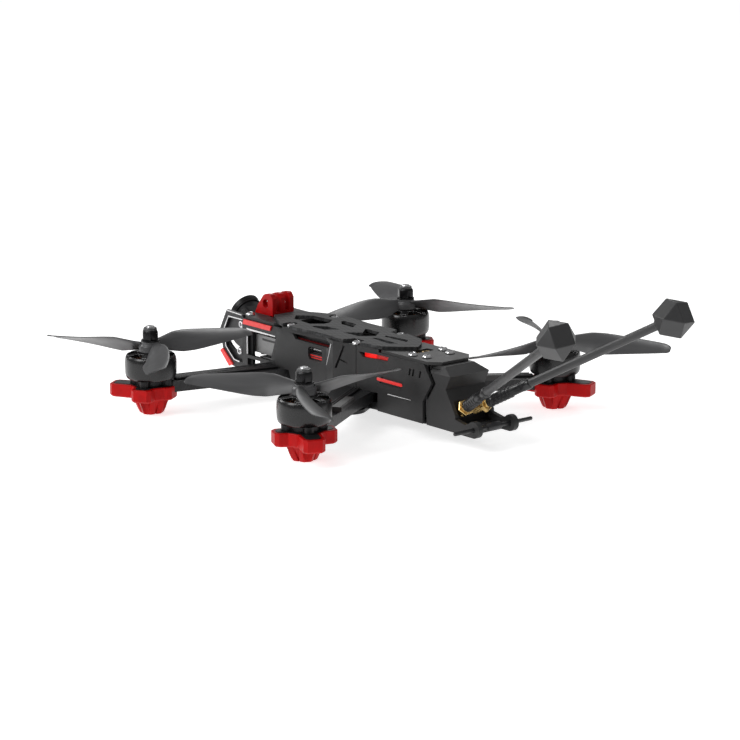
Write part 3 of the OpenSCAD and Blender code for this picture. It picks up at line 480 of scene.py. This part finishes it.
def both(bm):
    """Adds the mirror image across the centre plane."""
    copy = bm.verts[:] + bm.edges[:] + bm.faces[:]
    made = bmesh.ops.duplicate(bm, geom=copy)["geom"]
    verts = [v for v in made if isinstance(v, bmesh.types.BMVert)]
    bmesh.ops.scale(bm, vec=(-1, 1, 1), verts=verts)
    return bm


def lerp_table(table, s):
    """Straight-line value between (s, value) pairs."""
    for (s0, v0), (s1, v1) in zip(table, table[1:]):
        if s <= s1:
            t = (s - s0) / (s1 - s0)
            return v0 + (v1 - v0) * t
    return table[-1][1]


# ------------------------------------------------------------------ rotors

FRONT_MOTOR = (91.5, -66)
REAR_MOTOR = (88, 66)
# Motor centre on the left, side, sense of spin and angle of the first blade at rest
CORNERS = {
    "front_left": (FRONT_MOTOR, 1, 1, 59.6),
    "front_right": (FRONT_MOTOR, -1, -1, 3.9),
    "rear_left": (REAR_MOTOR, 1, -1, 58.8),
    "rear_right": (REAR_MOTOR, -1, 1, 5.0),
}
# Where each arm starts, the motor at its end, and the turn of the foot and its screws in degrees
ARMS = {"front": ((5, -47.6), FRONT_MOTOR, -12), "rear": ((7.5, 13.7), REAR_MOTOR, 21)}
SCREW_RING = 9.5
HUB_Z = 26.22
BLADE_Z = 29.17
PROP_R = 64.8
BLADE_ROOT = 4.2
PITCH_PER_TURN = 117


def blade_section(s, spin, n=15):
    """Points round the blade at a fraction s of its length, as an aerofoil turned to its pitch."""
    x = BLADE_ROOT + (PROP_R - BLADE_ROOT) * s
    chord = 16.6 * lerp_table(((0, 0.42), (0.06, 0.50), (0.14, 0.66), (0.24, 0.85), (0.36, 0.98), (0.46, 1.0),
                               (0.6, 0.955), (0.75, 0.86), (0.88, 0.735), (0.94, 0.64), (0.975, 0.53),
                               (0.992, 0.40), (1, 0.24)), s)
    thick = lerp_table(((0, 2.6), (0.08, 2.0), (0.25, 1.55), (0.6, 1.05), (0.9, 0.75), (1, 0.5)), s)
    turn = min(math.radians(44), math.atan(PITCH_PER_TURN / (TAU * x)))
    sweep = 1.2 - 3.2 * s * s - 2.2 * max(0, (s - 0.93) / 0.07)
    camber = 0.055 * chord * min(1, 0.4 + s * 2)
    ring = []
    for k in range(2 * n):
        half = k / n if k < n else (2 * n - k) / n
        c = 0.5 * (1 - math.cos(math.pi * half))
        body = 5 * (0.2969 * math.sqrt(c) - 0.126 * c - 0.3516 * c * c + 0.2843 * c ** 3 - 0.1015 * c ** 4)
        side = 1 if k < n else -0.72
        if k in (0, n):
            side = 0
        v = side * body * thick + camber * 4 * c * (1 - c)
        if k == 0:
            v = 0
        u = (0.5 - c) * chord
        y = sweep + u * math.cos(turn) - v * math.sin(turn)
        z = u * math.sin(turn) + v * math.cos(turn)
        ring.append((x, spin * y, BLADE_Z + z))
    return ring


def propeller_mesh(spin):
    hub = bmesh.new()
    lathe(hub, [(2.55, HUB_Z), (5.9, HUB_Z), (6.35, HUB_Z + 0.4), (6.35, 29.6), (6.1, 30.1),
                (5.35, 30.6), (5.2, 31.0), (5.2, 31.8), (4.9, 32.1), (2.55, 32.1)], 96, loop=True)
    parts = [hub]
    stations = [0, 0.02, 0.05, 0.09] + [0.13 + 0.8 * i / 26 for i in range(27)]
    stations += [0.945, 0.96, 0.975, 0.985, 0.993, 1]
    for i in range(3):
        blade = bmesh.new()
        skin(blade, [blade_section(s, spin) for s in stations], Matrix.Rotation(TAU * i / 3, 4, "Z"))
        parts.append(blade)
    return fused(parts)


def bell_mesh():
    wall = bmesh.new()
    lathe(wall, [(12.3, 11.85), (12.7, 11.8), (13.2, 12.1), (13.75, 13.0), (14.08, 14.6), (14.22, 17),
                 (14.25, 19.5), (14.2, 21.4), (14.0, 22.9), (13.7, 23.9), (13.2, 24.7), (12.4, 25.2),
                 (11.2, 25.4), (9.0, 25.6), (7.3, 25.8), (6.8, 26.15), (2.9, 26.18), (2.5, 26.0),
                 (2.5, 24.7), (11.8, 23.4), (12.25, 22.8)], 120, loop=True)
    cutters = bmesh.new()
    for i in range(6):
        turn = Matrix.Rotation(TAU * i / 6 + 0.2, 4, "Z")
        inner, outer = 7.4, 13.1
        arc_in = [(inner * math.cos(a), inner * math.sin(a)) for a in (-0.24, -0.12, 0, 0.12, 0.24)]
        arc_out = [(outer * math.cos(a), outer * math.sin(a)) for a in (0.36, 0.24, 0.12, 0, -0.12, -0.24, -0.36)]
        slab(cutters, arc_in + arc_out, 22.95, 27, turn)
        # A shallow notch that runs over the shoulder of the bell between two windows
        spot = Matrix.Rotation(TAU * (i + 0.5) / 6 + 0.2, 4, "Z")
        slab(cutters, [(12.6, -1.1), (15.2, -1.5), (15.2, 1.5), (12.6, 1.1)], 24.1, 27, spot)
    return fused([wall, cutters], "DIFFERENCE")


def shaft_mesh(bm):
    lathe(bm, [(0, 10.4), (2.2, 10.4), (2.48, 10.7), (2.48, 40.1), (2.2, 40.55), (0, 40.6)], 40)
    # A thin raised bar across the end of the shaft
    box_mm(bm, (-1.9, -0.35, 40.61), (1.9, 0.35, 40.66))


def nut_mesh(bm):
    """Flange with teeth, and six flats with eased corners."""
    teeth = 48
    flange = []
    for i in range(teeth * 2):
        a = TAU * i / (teeth * 2)
        r = 5.1 if i % 2 else 4.85
        flange.append((r * math.cos(a), r * math.sin(a)))
    slab(bm, flange, 32.12, 33.0, edge=0.12)
    flat = 4.0 / math.cos(math.pi / 6)
    rings = []
    for r, z in ((flat * 0.96, 33.0), (flat, 33.3), (flat, 37.5), (flat * 0.95, 38.1), (flat * 0.87, 38.5)):
        ring = []
        for i in range(6):
            for k in (-1, 1):
                a = TAU * i / 6 + k * 0.05
                ring.append((r * math.cos(a), r * math.sin(a), z))
        rings.append(ring)
    skin(bm, rings)


def rotors():
    propeller = {spin: propeller_mesh(spin) for spin in (1, -1)}
    for name, ((x, y), side, spin, rest) in CORNERS.items():
        body = "rotor_" + name
        spot = Matrix.Translation((side * x * MM, y * MM, 0))
        turned_spot = spot @ Matrix.Rotation(math.radians(rest), 4, "Z")
        # Turned before it is placed, so that the piece's own box lies square in the frame
        blades = propeller[spin].copy()
        bmesh.ops.rotate(blades, matrix=Matrix.Rotation(math.radians(rest), 3, "Z"), verts=blades.verts)
        publish("blades_" + name, blades, M["propeller"], body, ["propeller_" + name], spot, 40)
        rim = publish("bell_wall_" + name, bell_mesh(), [M["bell"], M["edge"]], body, ["bell_" + name],
                      turned_spot, 32)
        # The bevelled rims of the bell take the near-white second material: a painted highlight.
        soften(rim, 0.22 * MM, 1, 42, 1)
        bm = bmesh.new()
        shaft_mesh(bm)
        publish("shaft_" + name, bm, M["bright_screw"], body, at=turned_spot)
        bm = bmesh.new()
        nut_mesh(bm)
        publish("nut_" + name, bm, M["lock_nut"], body, ["prop_nut_" + name], turned_spot, 30,
                bevel=0.12)
        bm = bmesh.new()
        lathe(bm, [(2.55, 38.3), (3.6, 38.3), (3.7, 38.5), (3.7, 39.3), (3.4, 39.75), (2.9, 39.9), (2.55, 39.85)],
              48, loop=True)
        publish("collar_" + name, bm, M["collar"], body, at=turned_spot)
        bm = bmesh.new()
        for i in range(14):
            box_mm(bm, (11.75, -2.3, 12.5), (12.28, 2.3, 22.6), Matrix.Rotation(TAU * i / 14, 4, "Z"), 0.15)
        publish("magnets_" + name, bm, M["magnet"], body, at=turned_spot)
    for bm in propeller.values():
        bm.free()


# ------------------------------------------------------------------ feet

def cross_outline(reach, half, waist, ease, turn):
    """Plan of a foot: four lobes at 45 degrees to the arm, tapering outwards to squared and eased ends."""
    points = []
    for k in range(4):
        a = turn + math.pi / 4 + k * math.pi / 2
        r = reach[k]
        side = [(waist * math.cos(math.radians(39)), waist * math.sin(math.radians(39))),
                (min(9.9, r - ease - 0.8), half + 0.3), (r - ease, half), (r, half - ease)]
        for u, v in [(u, -v) for u, v in side] + side[::-1]:
            points.append((u * math.cos(a) - v * math.sin(a), u * math.sin(a) + v * math.cos(a)))
    return points


def feet():
    for end, long_lobe, arm_turn in (("front", 3, -12), ("rear", 0, 33)):
        motor, turn = ARMS[end][1:]
        for side in ("left", "right"):
            turn_r = math.radians(turn)
            reach = [16.55] * 4
            reach[long_lobe] = 22.95
            if end == "front":
                reach[1] = 13.65
            low_reach = [9.7] * 4
            low_reach[long_lobe] = 10.2
            solid = bmesh.new()
            shapes = (
                (cross_outline([6.0] * 4, 3.2, 4.4, 1.4, turn_r), -8.0),
                (cross_outline([6.5] * 4, 3.4, 4.8, 1.4, turn_r), -7.4),
                (cross_outline(low_reach, 4.6, 8.6, 1.8, turn_r), 0.2),
                (cross_outline([r - 0.7 for r in reach], 5.2, 10.6, 1.8, turn_r), 0.62),
                (cross_outline(reach, 5.75, 11.35, 1.9, turn_r), 1.5),
                (cross_outline(reach, 5.75, 11.35, 1.9, turn_r), 7.45),
                (cross_outline([r - 0.3 for r in reach], 5.45, 11.05, 1.9, turn_r), 7.8),
            )
            skin(solid, [[(x, y, z) for x, y in outline] for outline, z in shapes])
            pocket = bmesh.new()
            slab(pocket, cross_outline([r - 1.55 for r in reach], 4.2, 9.8, 1.9, turn_r), 3.97, 12)
            strip = bmesh.new()
            inward = Matrix.Rotation(math.radians(arm_turn), 4, "Z")
            box_mm(strip, (-40, -9.4, 3.97), (-3, 9.4, 12), inward)
            holes = bmesh.new()
            for k in range(4):
                a = turn_r + math.pi / 4 + k * math.pi / 2
                spot = Matrix.Translation((SCREW_RING * math.cos(a), SCREW_RING * math.sin(a), 0))
                lathe(holes, [(0, -9), (3.0, -9), (3.0, 2.2), (0, 2.2)], 28, spot)
            bm = fused([solid, pocket, strip, holes], "DIFFERENCE")
            bmesh.ops.translate(bm, vec=(*motor, 0), verts=bm.verts)
            publish(f"foot_cup_{end}_{side}", bm, M["red_rubber"], "frame", [f"foot_{end}_{side}"],
                    mirror=side == "right", smooth=25, bevel=0.3)


# ------------------------------------------------------------------ screws, wires and antennas

def hexagon(size, z, n):
    """A hexagon given as n points, so that it can be skinned to a circle."""
    out = []
    for i in range(n):
        a = TAU * i / n
        sector = (a % (TAU / 6)) - TAU / 12
        out.append((size / math.cos(sector) * math.cos(a), size / math.cos(sector) * math.sin(a), z))
    return out


def button_head(bm, matrix, r=2.85, h=1.65, socket=1.15):
    """A domed head with a hexagonal socket, drawn upwards from its seat."""
    n = 48
    rings = [circle(r * 0.97, 0, n), circle(r, 0.25, n), circle(r * 0.96, 0.7, n), circle(r * 0.84, 1.15, n),
             circle(r * 0.68, h - 0.15, n), circle(r * 0.58, h, n)]
    rings += [hexagon(socket * 1.06, h, n), hexagon(socket, h - 0.12, n), hexagon(socket, h - 1.0, n)]
    skin(bm, rings, matrix)


def lying(x, y, z, side):
    """A frame whose +Z points outwards along X, for screws in the side plates."""
    return Matrix.Translation((side * x, y, z)) @ Matrix.Rotation(side * math.pi / 2, 4, "Y")


def screws():
    bm = bmesh.new()
    for side in (-1, 1):
        for x, y, length in ((15.5, -38, 9), (15.5, 19.5, 9), (10.55, 60.5, 9), (8, 69, 9), (14.1, -77.9, 1.55)):
            spot = Matrix.Translation((side * x, y, 34.42)) @ Matrix.Rotation(x + y, 4, "Z")
            button_head(bm, spot, 2.65)
            lathe(bm, [(0, -length), (1.4, -length), (1.48, 0.3 - length), (1.48, 0.02), (0, 0.02)], 24, spot)
    publish("deck_screw_heads", bm, M["bright_screw"], "frame", ["deck_screws"], smooth=28)
    for body, node, y, z, length in (("frame", "camera_pivot_screws", -83.8, 28.2, 5.0),
                                     ("camera", "camera_slot_screws", -85.2, 12.5, 4.0)):
        bm = bmesh.new()
        seat = 15.55 if body == "frame" else 15.87
        for side in (-1, 1):
            spot = lying(seat, y, z, side)
            button_head(bm, spot, 2.35, 1.25, 0.95)
            lathe(bm, [(0, -length), (1.46, -length), (1.46, 0.02), (0, 0.02)], 24, spot)
        publish(node + "_heads", bm, M["bright_screw"], body, [node], smooth=28)
    under_screws()


def sunk_head(bm, matrix, length):
    """A countersunk head with a hexagonal socket, drawn upwards from its flush face."""
    n = 48
    rings = [hexagon(1.10, 1.0, n), hexagon(1.12, 0.2, n), hexagon(1.22, 0.08, n), circle(2.62, 0.08, n),
             circle(2.74, 0.18, n), circle(1.5, 1.38, n), circle(1.46, length, n)]
    skin(bm, rings, matrix)


def under_screws():
    """Flush screws through the arm roots from below, and the motor screws sunk in the feet."""
    bm = bmesh.new()
    flip = Matrix.Rotation(math.pi, 4, "X")
    for root, motor, turn in ARMS.values():
        d = (Vector(motor) - Vector(root)).normalized()
        n = Vector((-d.y, d.x))
        for side in (-1, 1):
            for k in (-1, 1):
                p = Vector(root) + d * 5 + n * k * 4.5
                sunk_head(bm, Matrix.Translation((side * p.x, p.y, 0)), 11.95)
            for k in range(4):
                a = math.radians(turn + 45 + 90 * k)
                p = Vector(motor) + SCREW_RING * Vector((math.cos(a), math.sin(a)))
                spot = Matrix.Translation((side * p.x, p.y, 3.98)) @ flip
                button_head(bm, spot)
                lathe(bm, [(0, -7.3), (1.46, -7.3), (1.46, 0.02), (0, 0.02)], 20, spot)
    publish("under_screw_heads", bm, M["dark_screw"], "frame", ["frame_screws"], smooth=28)


def wires():
    """Three silicone wires on each arm, which wander a little."""
    steps = 30
    start = 14.0
    bm = bmesh.new()
    for end, offset in (("front", 3.6), ("rear", 1.4)):
        root, motor = (Vector(p) for p in ARMS[end][:2])
        d = (motor - root).normalized()
        n = Vector((-d.y, d.x))
        run = (motor - root).length
        for side in (1, -1):
            for k in (-1, 0, 1):
                points = []
                for i in range(steps + 1):
                    t = i / steps
                    s = start + (run - start - 12.6) * t
                    sway = 0.28 * math.sin(t * 9 + k * 2.1 + side) * math.sin(math.pi * t)
                    gather = 1 - 0.12 * math.sin(math.pi * t)
                    lift = 0.18 * (1 + math.sin(t * 7 + k * 1.7 + side)) * math.sin(math.pi * t)
                    p = root + d * s + n * (offset + k * 1.62 * gather + sway)
                    points.append((side * p.x, p.y, 10.7 + lift))
                tube(bm, points, 0.68, 14)
    publish("phase_wires", bm, M["wire"], "frame", ["motor_wires"], smooth=60)


def antenna_frame(side):
    rise, splay = math.radians(28.3), math.radians(18.2)
    along = Matrix.Rotation(-side * splay, 4, "Z") @ Matrix.Rotation(rise - math.pi / 2, 4, "X")
    return Matrix.Translation((side * 6.7, 98.3, 12.6)) @ along


def antennas():
    for label, side in (("left", 1), ("right", -1)):
        at = antenna_frame(side)
        bm = bmesh.new()
        profile = [(0, 3.1), (2.9, 3.1), (3.25, 3.4), (3.25, 5.2), (2.95, 5.5), (2.75, 5.8)]
        for i in range(5):
            z = 6.7 + i * 2.5
            profile += [(2.7, z), (3.15, z + 0.35), (3.15, z + 1.35), (2.7, z + 1.7)]
        profile += [(2.62, 20.2), (2.62, 25.6), (2.85, 26.0), (2.85, 29.8), (2.6, 30.8), (2.35, 31.0), (0, 31.0)]
        lathe(bm, profile, 48, at)
        publish("antenna_grip_" + label, bm, M["grip"], "frame", smooth=40)
        bm = bmesh.new()
        flats = []
        for i in range(8):
            for k in (-1, 1):
                a = TAU * (i + 0.5) / 8 + k * 0.16
                flats.append((math.cos(a), math.sin(a)))
        ends = ((2.2, 30.6), (2.3, 31.2), (2.3, 118.9), (2.1, 119.0))
        skin(bm, [[(r * x, r * y, z) for x, y in flats] for r, z in ends], at)
        publish("antenna_tube_" + label, bm, M["antenna"], "frame", ["antenna_" + label], smooth=20)
    nuts = bmesh.new()
    heads = bmesh.new()
    for side in (1, -1):
        at = antenna_frame(side)
        flat = 4.0 / math.cos(math.pi / 6)
        rings = []
        for r, z in ((flat * 0.9, -1.2), (flat, -0.8), (flat, 1.0), (flat * 0.9, 1.4)):
            angles = [TAU * (i + 0.25) / 6 for i in range(6)]
            rings.append([(r * math.cos(a), r * math.sin(a), z) for a in angles])
        skin(nuts, rings, at)
        thread = [(0, -9.0), (2.9, -9.0)]
        z = -8.8
        while z < -1.4:
            thread += [(3.14, z), (2.92, z + 0.3)]
            z += 0.6
        thread += [(2.95, -1.15), (0, -1.15)]
        lathe(nuts, thread, 40, at)
        lathe(nuts, [(0, 1.38), (3.1, 1.38), (3.2, 1.6), (3.2, 2.7), (3.0, 3.0), (0, 3.02)], 40, at)
        # The head: a cube cut back to the middle of its edges, seated on the tube by a short collar
        c = 10.9 / math.sqrt(2)
        corners = [(a * c, b * c, 0) for a in (-1, 1) for b in (-1, 1)]
        corners += [(a * c, 0, b * c) for a in (-1, 1) for b in (-1, 1)]
        corners += [(0, a * c, b * c) for a in (-1, 1) for b in (-1, 1)]
        spin = Matrix.Rotation(math.radians(side * 53.5), 4, "Z")
        lifted = at @ Matrix.Translation((0, 0, 122)) @ spin
        verts = [heads.verts.new(lifted @ Vector(p)) for p in corners]
        bmesh.ops.convex_hull(heads, input=verts)
        bmesh.ops.dissolve_limit(heads, angle_limit=0.02, verts=heads.verts, edges=heads.edges)
        lathe(heads, [(2.5, 112.2), (3.3, 112.2), (3.5, 112.6), (3.5, 114.0), (3.9, 114.5), (2.5, 114.5)], 40, at,
              loop=True)
    publish("antenna_connectors", nuts, M["connector"], "frame", ["antenna_nuts"], smooth=25,
            bevel=0.1)
    publish("antenna_shells", heads, M["antenna_head"], "frame", ["antenna_heads"], smooth=15,
            bevel=0.35)
    bm = bmesh.new()
    across = Matrix.Translation((0, 112.7, 4.4)) @ Matrix.Rotation(math.pi / 2, 4, "Y")
    lathe(bm, [(0, -27), (0.85, -27), (1.05, -26.7), (1.12, -10), (1.12, -4.9), (2.0, -4.6), (2.2, -4.2),
               (2.2, 4.2), (2.0, 4.6), (1.12, 4.9), (1.12, 10), (1.05, 26.7), (0.85, 27), (0, 27)], 32, across)
    publish("receiver_whisker", bm, M["whisker"], "frame", ["receiver_antenna"], smooth=40)


# ------------------------------------------------------------------ camera

def camera_eye():
    tilt = Matrix.Translation((0, -88.8, 24.7)) @ Matrix.Rotation(math.radians(-30), 4, "X")
    ahead = tilt @ Matrix.Rotation(math.pi / 2, 4, "X")
    bm = bmesh.new()
    lathe(bm, [(7.6, 12.6), (8.8, 12.6), (9.0, 12.9), (9.0, 13.6), (9.25, 13.8), (9.5, 15.6), (9.5, 16.1),
               (9.2, 16.45), (8.6, 16.45), (8.2, 16.0), (7.9, 15.0), (7.0, 14.8), (6.9, 14.4), (6.3, 14.3),
               (6.3, 13.2), (7.6, 13.0)], 96, ahead, loop=True)
    publish("lens_ring", bm, M["lens"], "camera", ["camera_lens"], smooth=30)
    bm = bmesh.new()
    curve = 8.4
    dome = [(0, 13.3), (6.25, 13.3), (6.2, 14.45)]
    for i in range(1, 9):
        a = (1 - i / 8) * 0.83
        dome.append((curve * math.sin(a), 8.8 + curve * math.cos(a)))
    lathe(bm, dome, 64, ahead)
    publish("lens_glass", bm, M["glass"], "camera", smooth=60)


# ------------------------------------------------------------------ body details

RING_EDGE = [(-81.2, 31.5), (-94.6, 31.5), (-99.2, 23.4), (-97.3, 13.4), (-89.7, 6.9), (-84.5, 6.4)]
WINDOW_EDGE = [(-76.9, 12.4), (-76.9, 26.9), (-50.6, 26.9)]
TOP_EDGE = [(-96.1, 34.7), (-82.0, 34.1)]
# Stands a plan up on the side of the body, facing +X
UPRIGHT = Matrix(((0, 0, 1, 0), (1, 0, 0, 0), (0, 1, 0, 0), (0, 0, 0, 1)))


def painted_highlight_lines():
    """Painted highlights: near-white strips along the edges of the cage openings, the ridge of the side panel and
    the rear groove.
    """
    bm = bmesh.new()
    for line, width in ((RING_EDGE, 0.62), (WINDOW_EDGE, 0.62), (TOP_EDGE, 0.55)):
        painted_highlight_strip(bm, [(17.5, y, z) for y, z in line], width)
    ridge = [(20.1, 3.0, 32.2), (19.55, 0.9, 27.6), (18.95, -1.4, 22.6), (18.6, -3.0, 19.2)]
    painted_highlight_strip(bm, ridge, 0.36, 0.10, 0.3)
    painted_highlight_strip(bm, [(15.0, 45, 11.1), (14.77, 64, 11.3)], 0.34, 0.06, 0.5)
    publish("painted_highlight_lines", both(bm), M["edge"], "frame")


def inner_parts():
    """What shows through the slots and windows: dark liners, board edges in near-white as a painted highlight, and
    the red lamps behind them.
    """
    dark = bmesh.new()
    box_mm(dark, (14.0, -38, 26.9), (14.6, 3, 33.9), edge=0.1)
    box_mm(dark, (11.0, 21.5, 26.6), (11.6, 48, 33.2), edge=0.1)
    box_mm(dark, (13.6, -77.6, 3.0), (15.4, -74.4, 31.5), edge=0.2)
    box_mm(dark, (9.0, -67.5, 3.0), (15.5, -49.0, 12.6), edge=0.4)
    for z in (23.2, 24.4, 25.9):
        box_mm(dark, (14.2, -21, z), (16.2, -5.5, z + 0.45), edge=0.05)
    for low, high in ((18.9, 20.3), (20.9, 21.5), (22.2, 23.0)):
        box_mm(dark, (16.75, -20.8, low), (17.0, -5.6, high), edge=0.05)
    box_mm(dark, (13.0, -22, 17.5), (13.6, -4.5, 28.0), edge=0.1)
    publish("inner_liners", both(dark), M["cheek"], "frame")
    bm = bmesh.new()
    box_mm(bm, (11.8, 24.0, 27.9), (13.4, 33.5, 32.2), edge=0.2)
    publish("inner_lamps", both(bm), M["lamp"], "frame", smooth=30)
    bm = bmesh.new()
    box_mm(bm, (14.7, -36.5, 27.9), (15.4, -2.0, 29.3), edge=0.1)
    publish("slot_glow", both(bm), M["ember"], "frame", smooth=30)
    bm = bmesh.new()
    # A near-white board edge: a painted highlight.
    box_mm(bm, (15.0, -17.5, 25.05), (16.1, -10.0, 25.45), edge=0.05)
    publish("board_edge", both(bm), M["edge"], "frame")
    bm = bmesh.new()
    slab(bm, rounded(11.4, 1.3, 0.6), -0.08, 0.02, Matrix.Translation((13.0, -62.5, 21.75)) @ UPRIGHT)
    publish("vent_shadow", both(bm), M["cheek"], "frame")


def rounded(width, height, radius, n=6):
    """Plan of a rounded bar, centred."""
    points = []
    for cx, cy, start in ((1, 1, 0), (-1, 1, 1), (-1, -1, 2), (1, -1, 3)):
        for i in range(n + 1):
            a = (start + i / n) * math.pi / 2
            points.append((cx * (width / 2 - radius) + radius * math.cos(a),
                           cy * (height / 2 - radius) + radius * math.sin(a)))
    return points


def side_inlay():
    """A plain red bar in the recess of each rear panel, in the emitting red lamp material, so that it glows though
    no lamp is behind it: a painted glow.
    """
    bm = bmesh.new()
    slab(bm, rounded(21, 1.7, 0.8), -0.3, 0.12, Matrix.Translation((15.08, 46.5, 18.0)) @ UPRIGHT, 0.08)
    publish("side_inlay", both(bm), M["light"], "frame", smooth=30)


# ------------------------------------------------------------------ studio

SKY_LOW = 0.12
SKY_HIGH = 0.42
FLOOR_GLOW = 0.70
LAMPS = (
    ("key", (1.5, -0.2, 1.2), 0.9, 18),
    ("rim", (-0.9, -1.0, 0.9), 0.5, 3),
    ("front", (0.5, -1.5, 0.8), 0.6, 7),
)


def studio():
    """White sky that is bright overhead and dimmer near the horizon, over a pale floor."""
    scene = bpy.context.scene
    scene.view_settings.view_transform = "Standard"
    world = bpy.data.worlds.new("studio")
    world.use_nodes = True
    tree = world.node_tree
    coords = tree.nodes.new("ShaderNodeTexCoord")
    split = tree.nodes.new("ShaderNodeSeparateXYZ")
    height = tree.nodes.new("ShaderNodeMapRange")
    tree.links.new(coords.outputs["Generated"], split.inputs[0])
    tree.links.new(split.outputs[2], height.inputs[0])
    for i, value in enumerate((0.0, 0.75, SKY_LOW, SKY_HIGH)):
        height.inputs[i + 1].default_value = value
    sky = tree.nodes["Background"]
    sky.inputs[0].default_value = (1.0, 1.0, 1.0, 1)
    tree.links.new(height.outputs[0], sky.inputs[1])
    scene.world = world
    size = 6.0
    floor = bpy.data.meshes.new("floor")
    corners = [(x, y, -0.008) for x, y in ((-size, -size), (size, -size), (size, size), (-size, size))]
    floor.from_pydata(corners, [], [(0, 1, 2, 3)])
    floor_obj = bpy.data.objects.new("floor", floor)
    scene.collection.objects.link(floor_obj)
    g = Graph("floor_paper", (0.80, 0.80, 0.80), 0.8, Specular_IOR_Level=0.2)
    grain = g.noise(900, 3)
    g.set("Base Color", g.mix(grain, (0.79, 0.79, 0.79), (0.81, 0.81, 0.81)))
    g.set("Emission Color", (1.0, 1.0, 1.0, 1))
    g.set("Emission Strength", FLOOR_GLOW)
    floor.materials.append(g.mat)
    for name, spot, side, power in LAMPS:
        data = bpy.data.lights.new(name, "AREA")
        data.shape = "SQUARE"
        data.size = side
        data.energy = power
        lamp = bpy.data.objects.new(name, data)
        lamp.location = spot
        lamp.rotation_euler = (Vector((0, 0.03, 0.02)) - Vector(spot)).to_track_quat("-Z", "Y").to_euler()
        scene.collection.objects.link(lamp)


def camera():
    turn, rise = math.radians(140.52), math.radians(13.10)
    back = Vector((math.sin(turn) * math.cos(rise), -math.cos(turn) * math.cos(rise), math.sin(rise)))
    right = Vector((math.cos(turn), math.sin(turn), 0))
    up = back.cross(right)
    data = bpy.data.cameras.new("camera")
    data.sensor_width = 36
    data.lens = 123.2
    data.clip_start, data.clip_end = 0.01, 30
    cam = bpy.data.objects.new("camera", data)
    basis = Matrix((right, up, back)).transposed().to_4x4()
    place = Vector((0, 0, 0.0186)) + back * 1.396 + right * 0.00763 - up * 0.00439
    cam.matrix_world = Matrix.Translation(place) @ basis
    bpy.context.scene.collection.objects.link(cam)
    bpy.context.scene.camera = cam


camera()
studio()
rotors()
feet()
screws()
wires()
antennas()
camera_eye()
painted_highlight_lines()
inner_parts()
side_inlay()

for node_name in ("camera_cage_left", "camera_cage_right", "arm_front_left", "arm_front_right",
                  "arm_rear_left", "arm_rear_right", "top_plate"):
    soften(NODES[node_name], 0.35 * MM, 2)
for node_name in ("side_panel_left", "side_panel_right", "rear_panel_left", "rear_panel_right",
                  "front_deck", "rear_deck", "tail_block", "action_camera_mount"):
    soften(NODES[node_name], 0.3 * MM, 3)
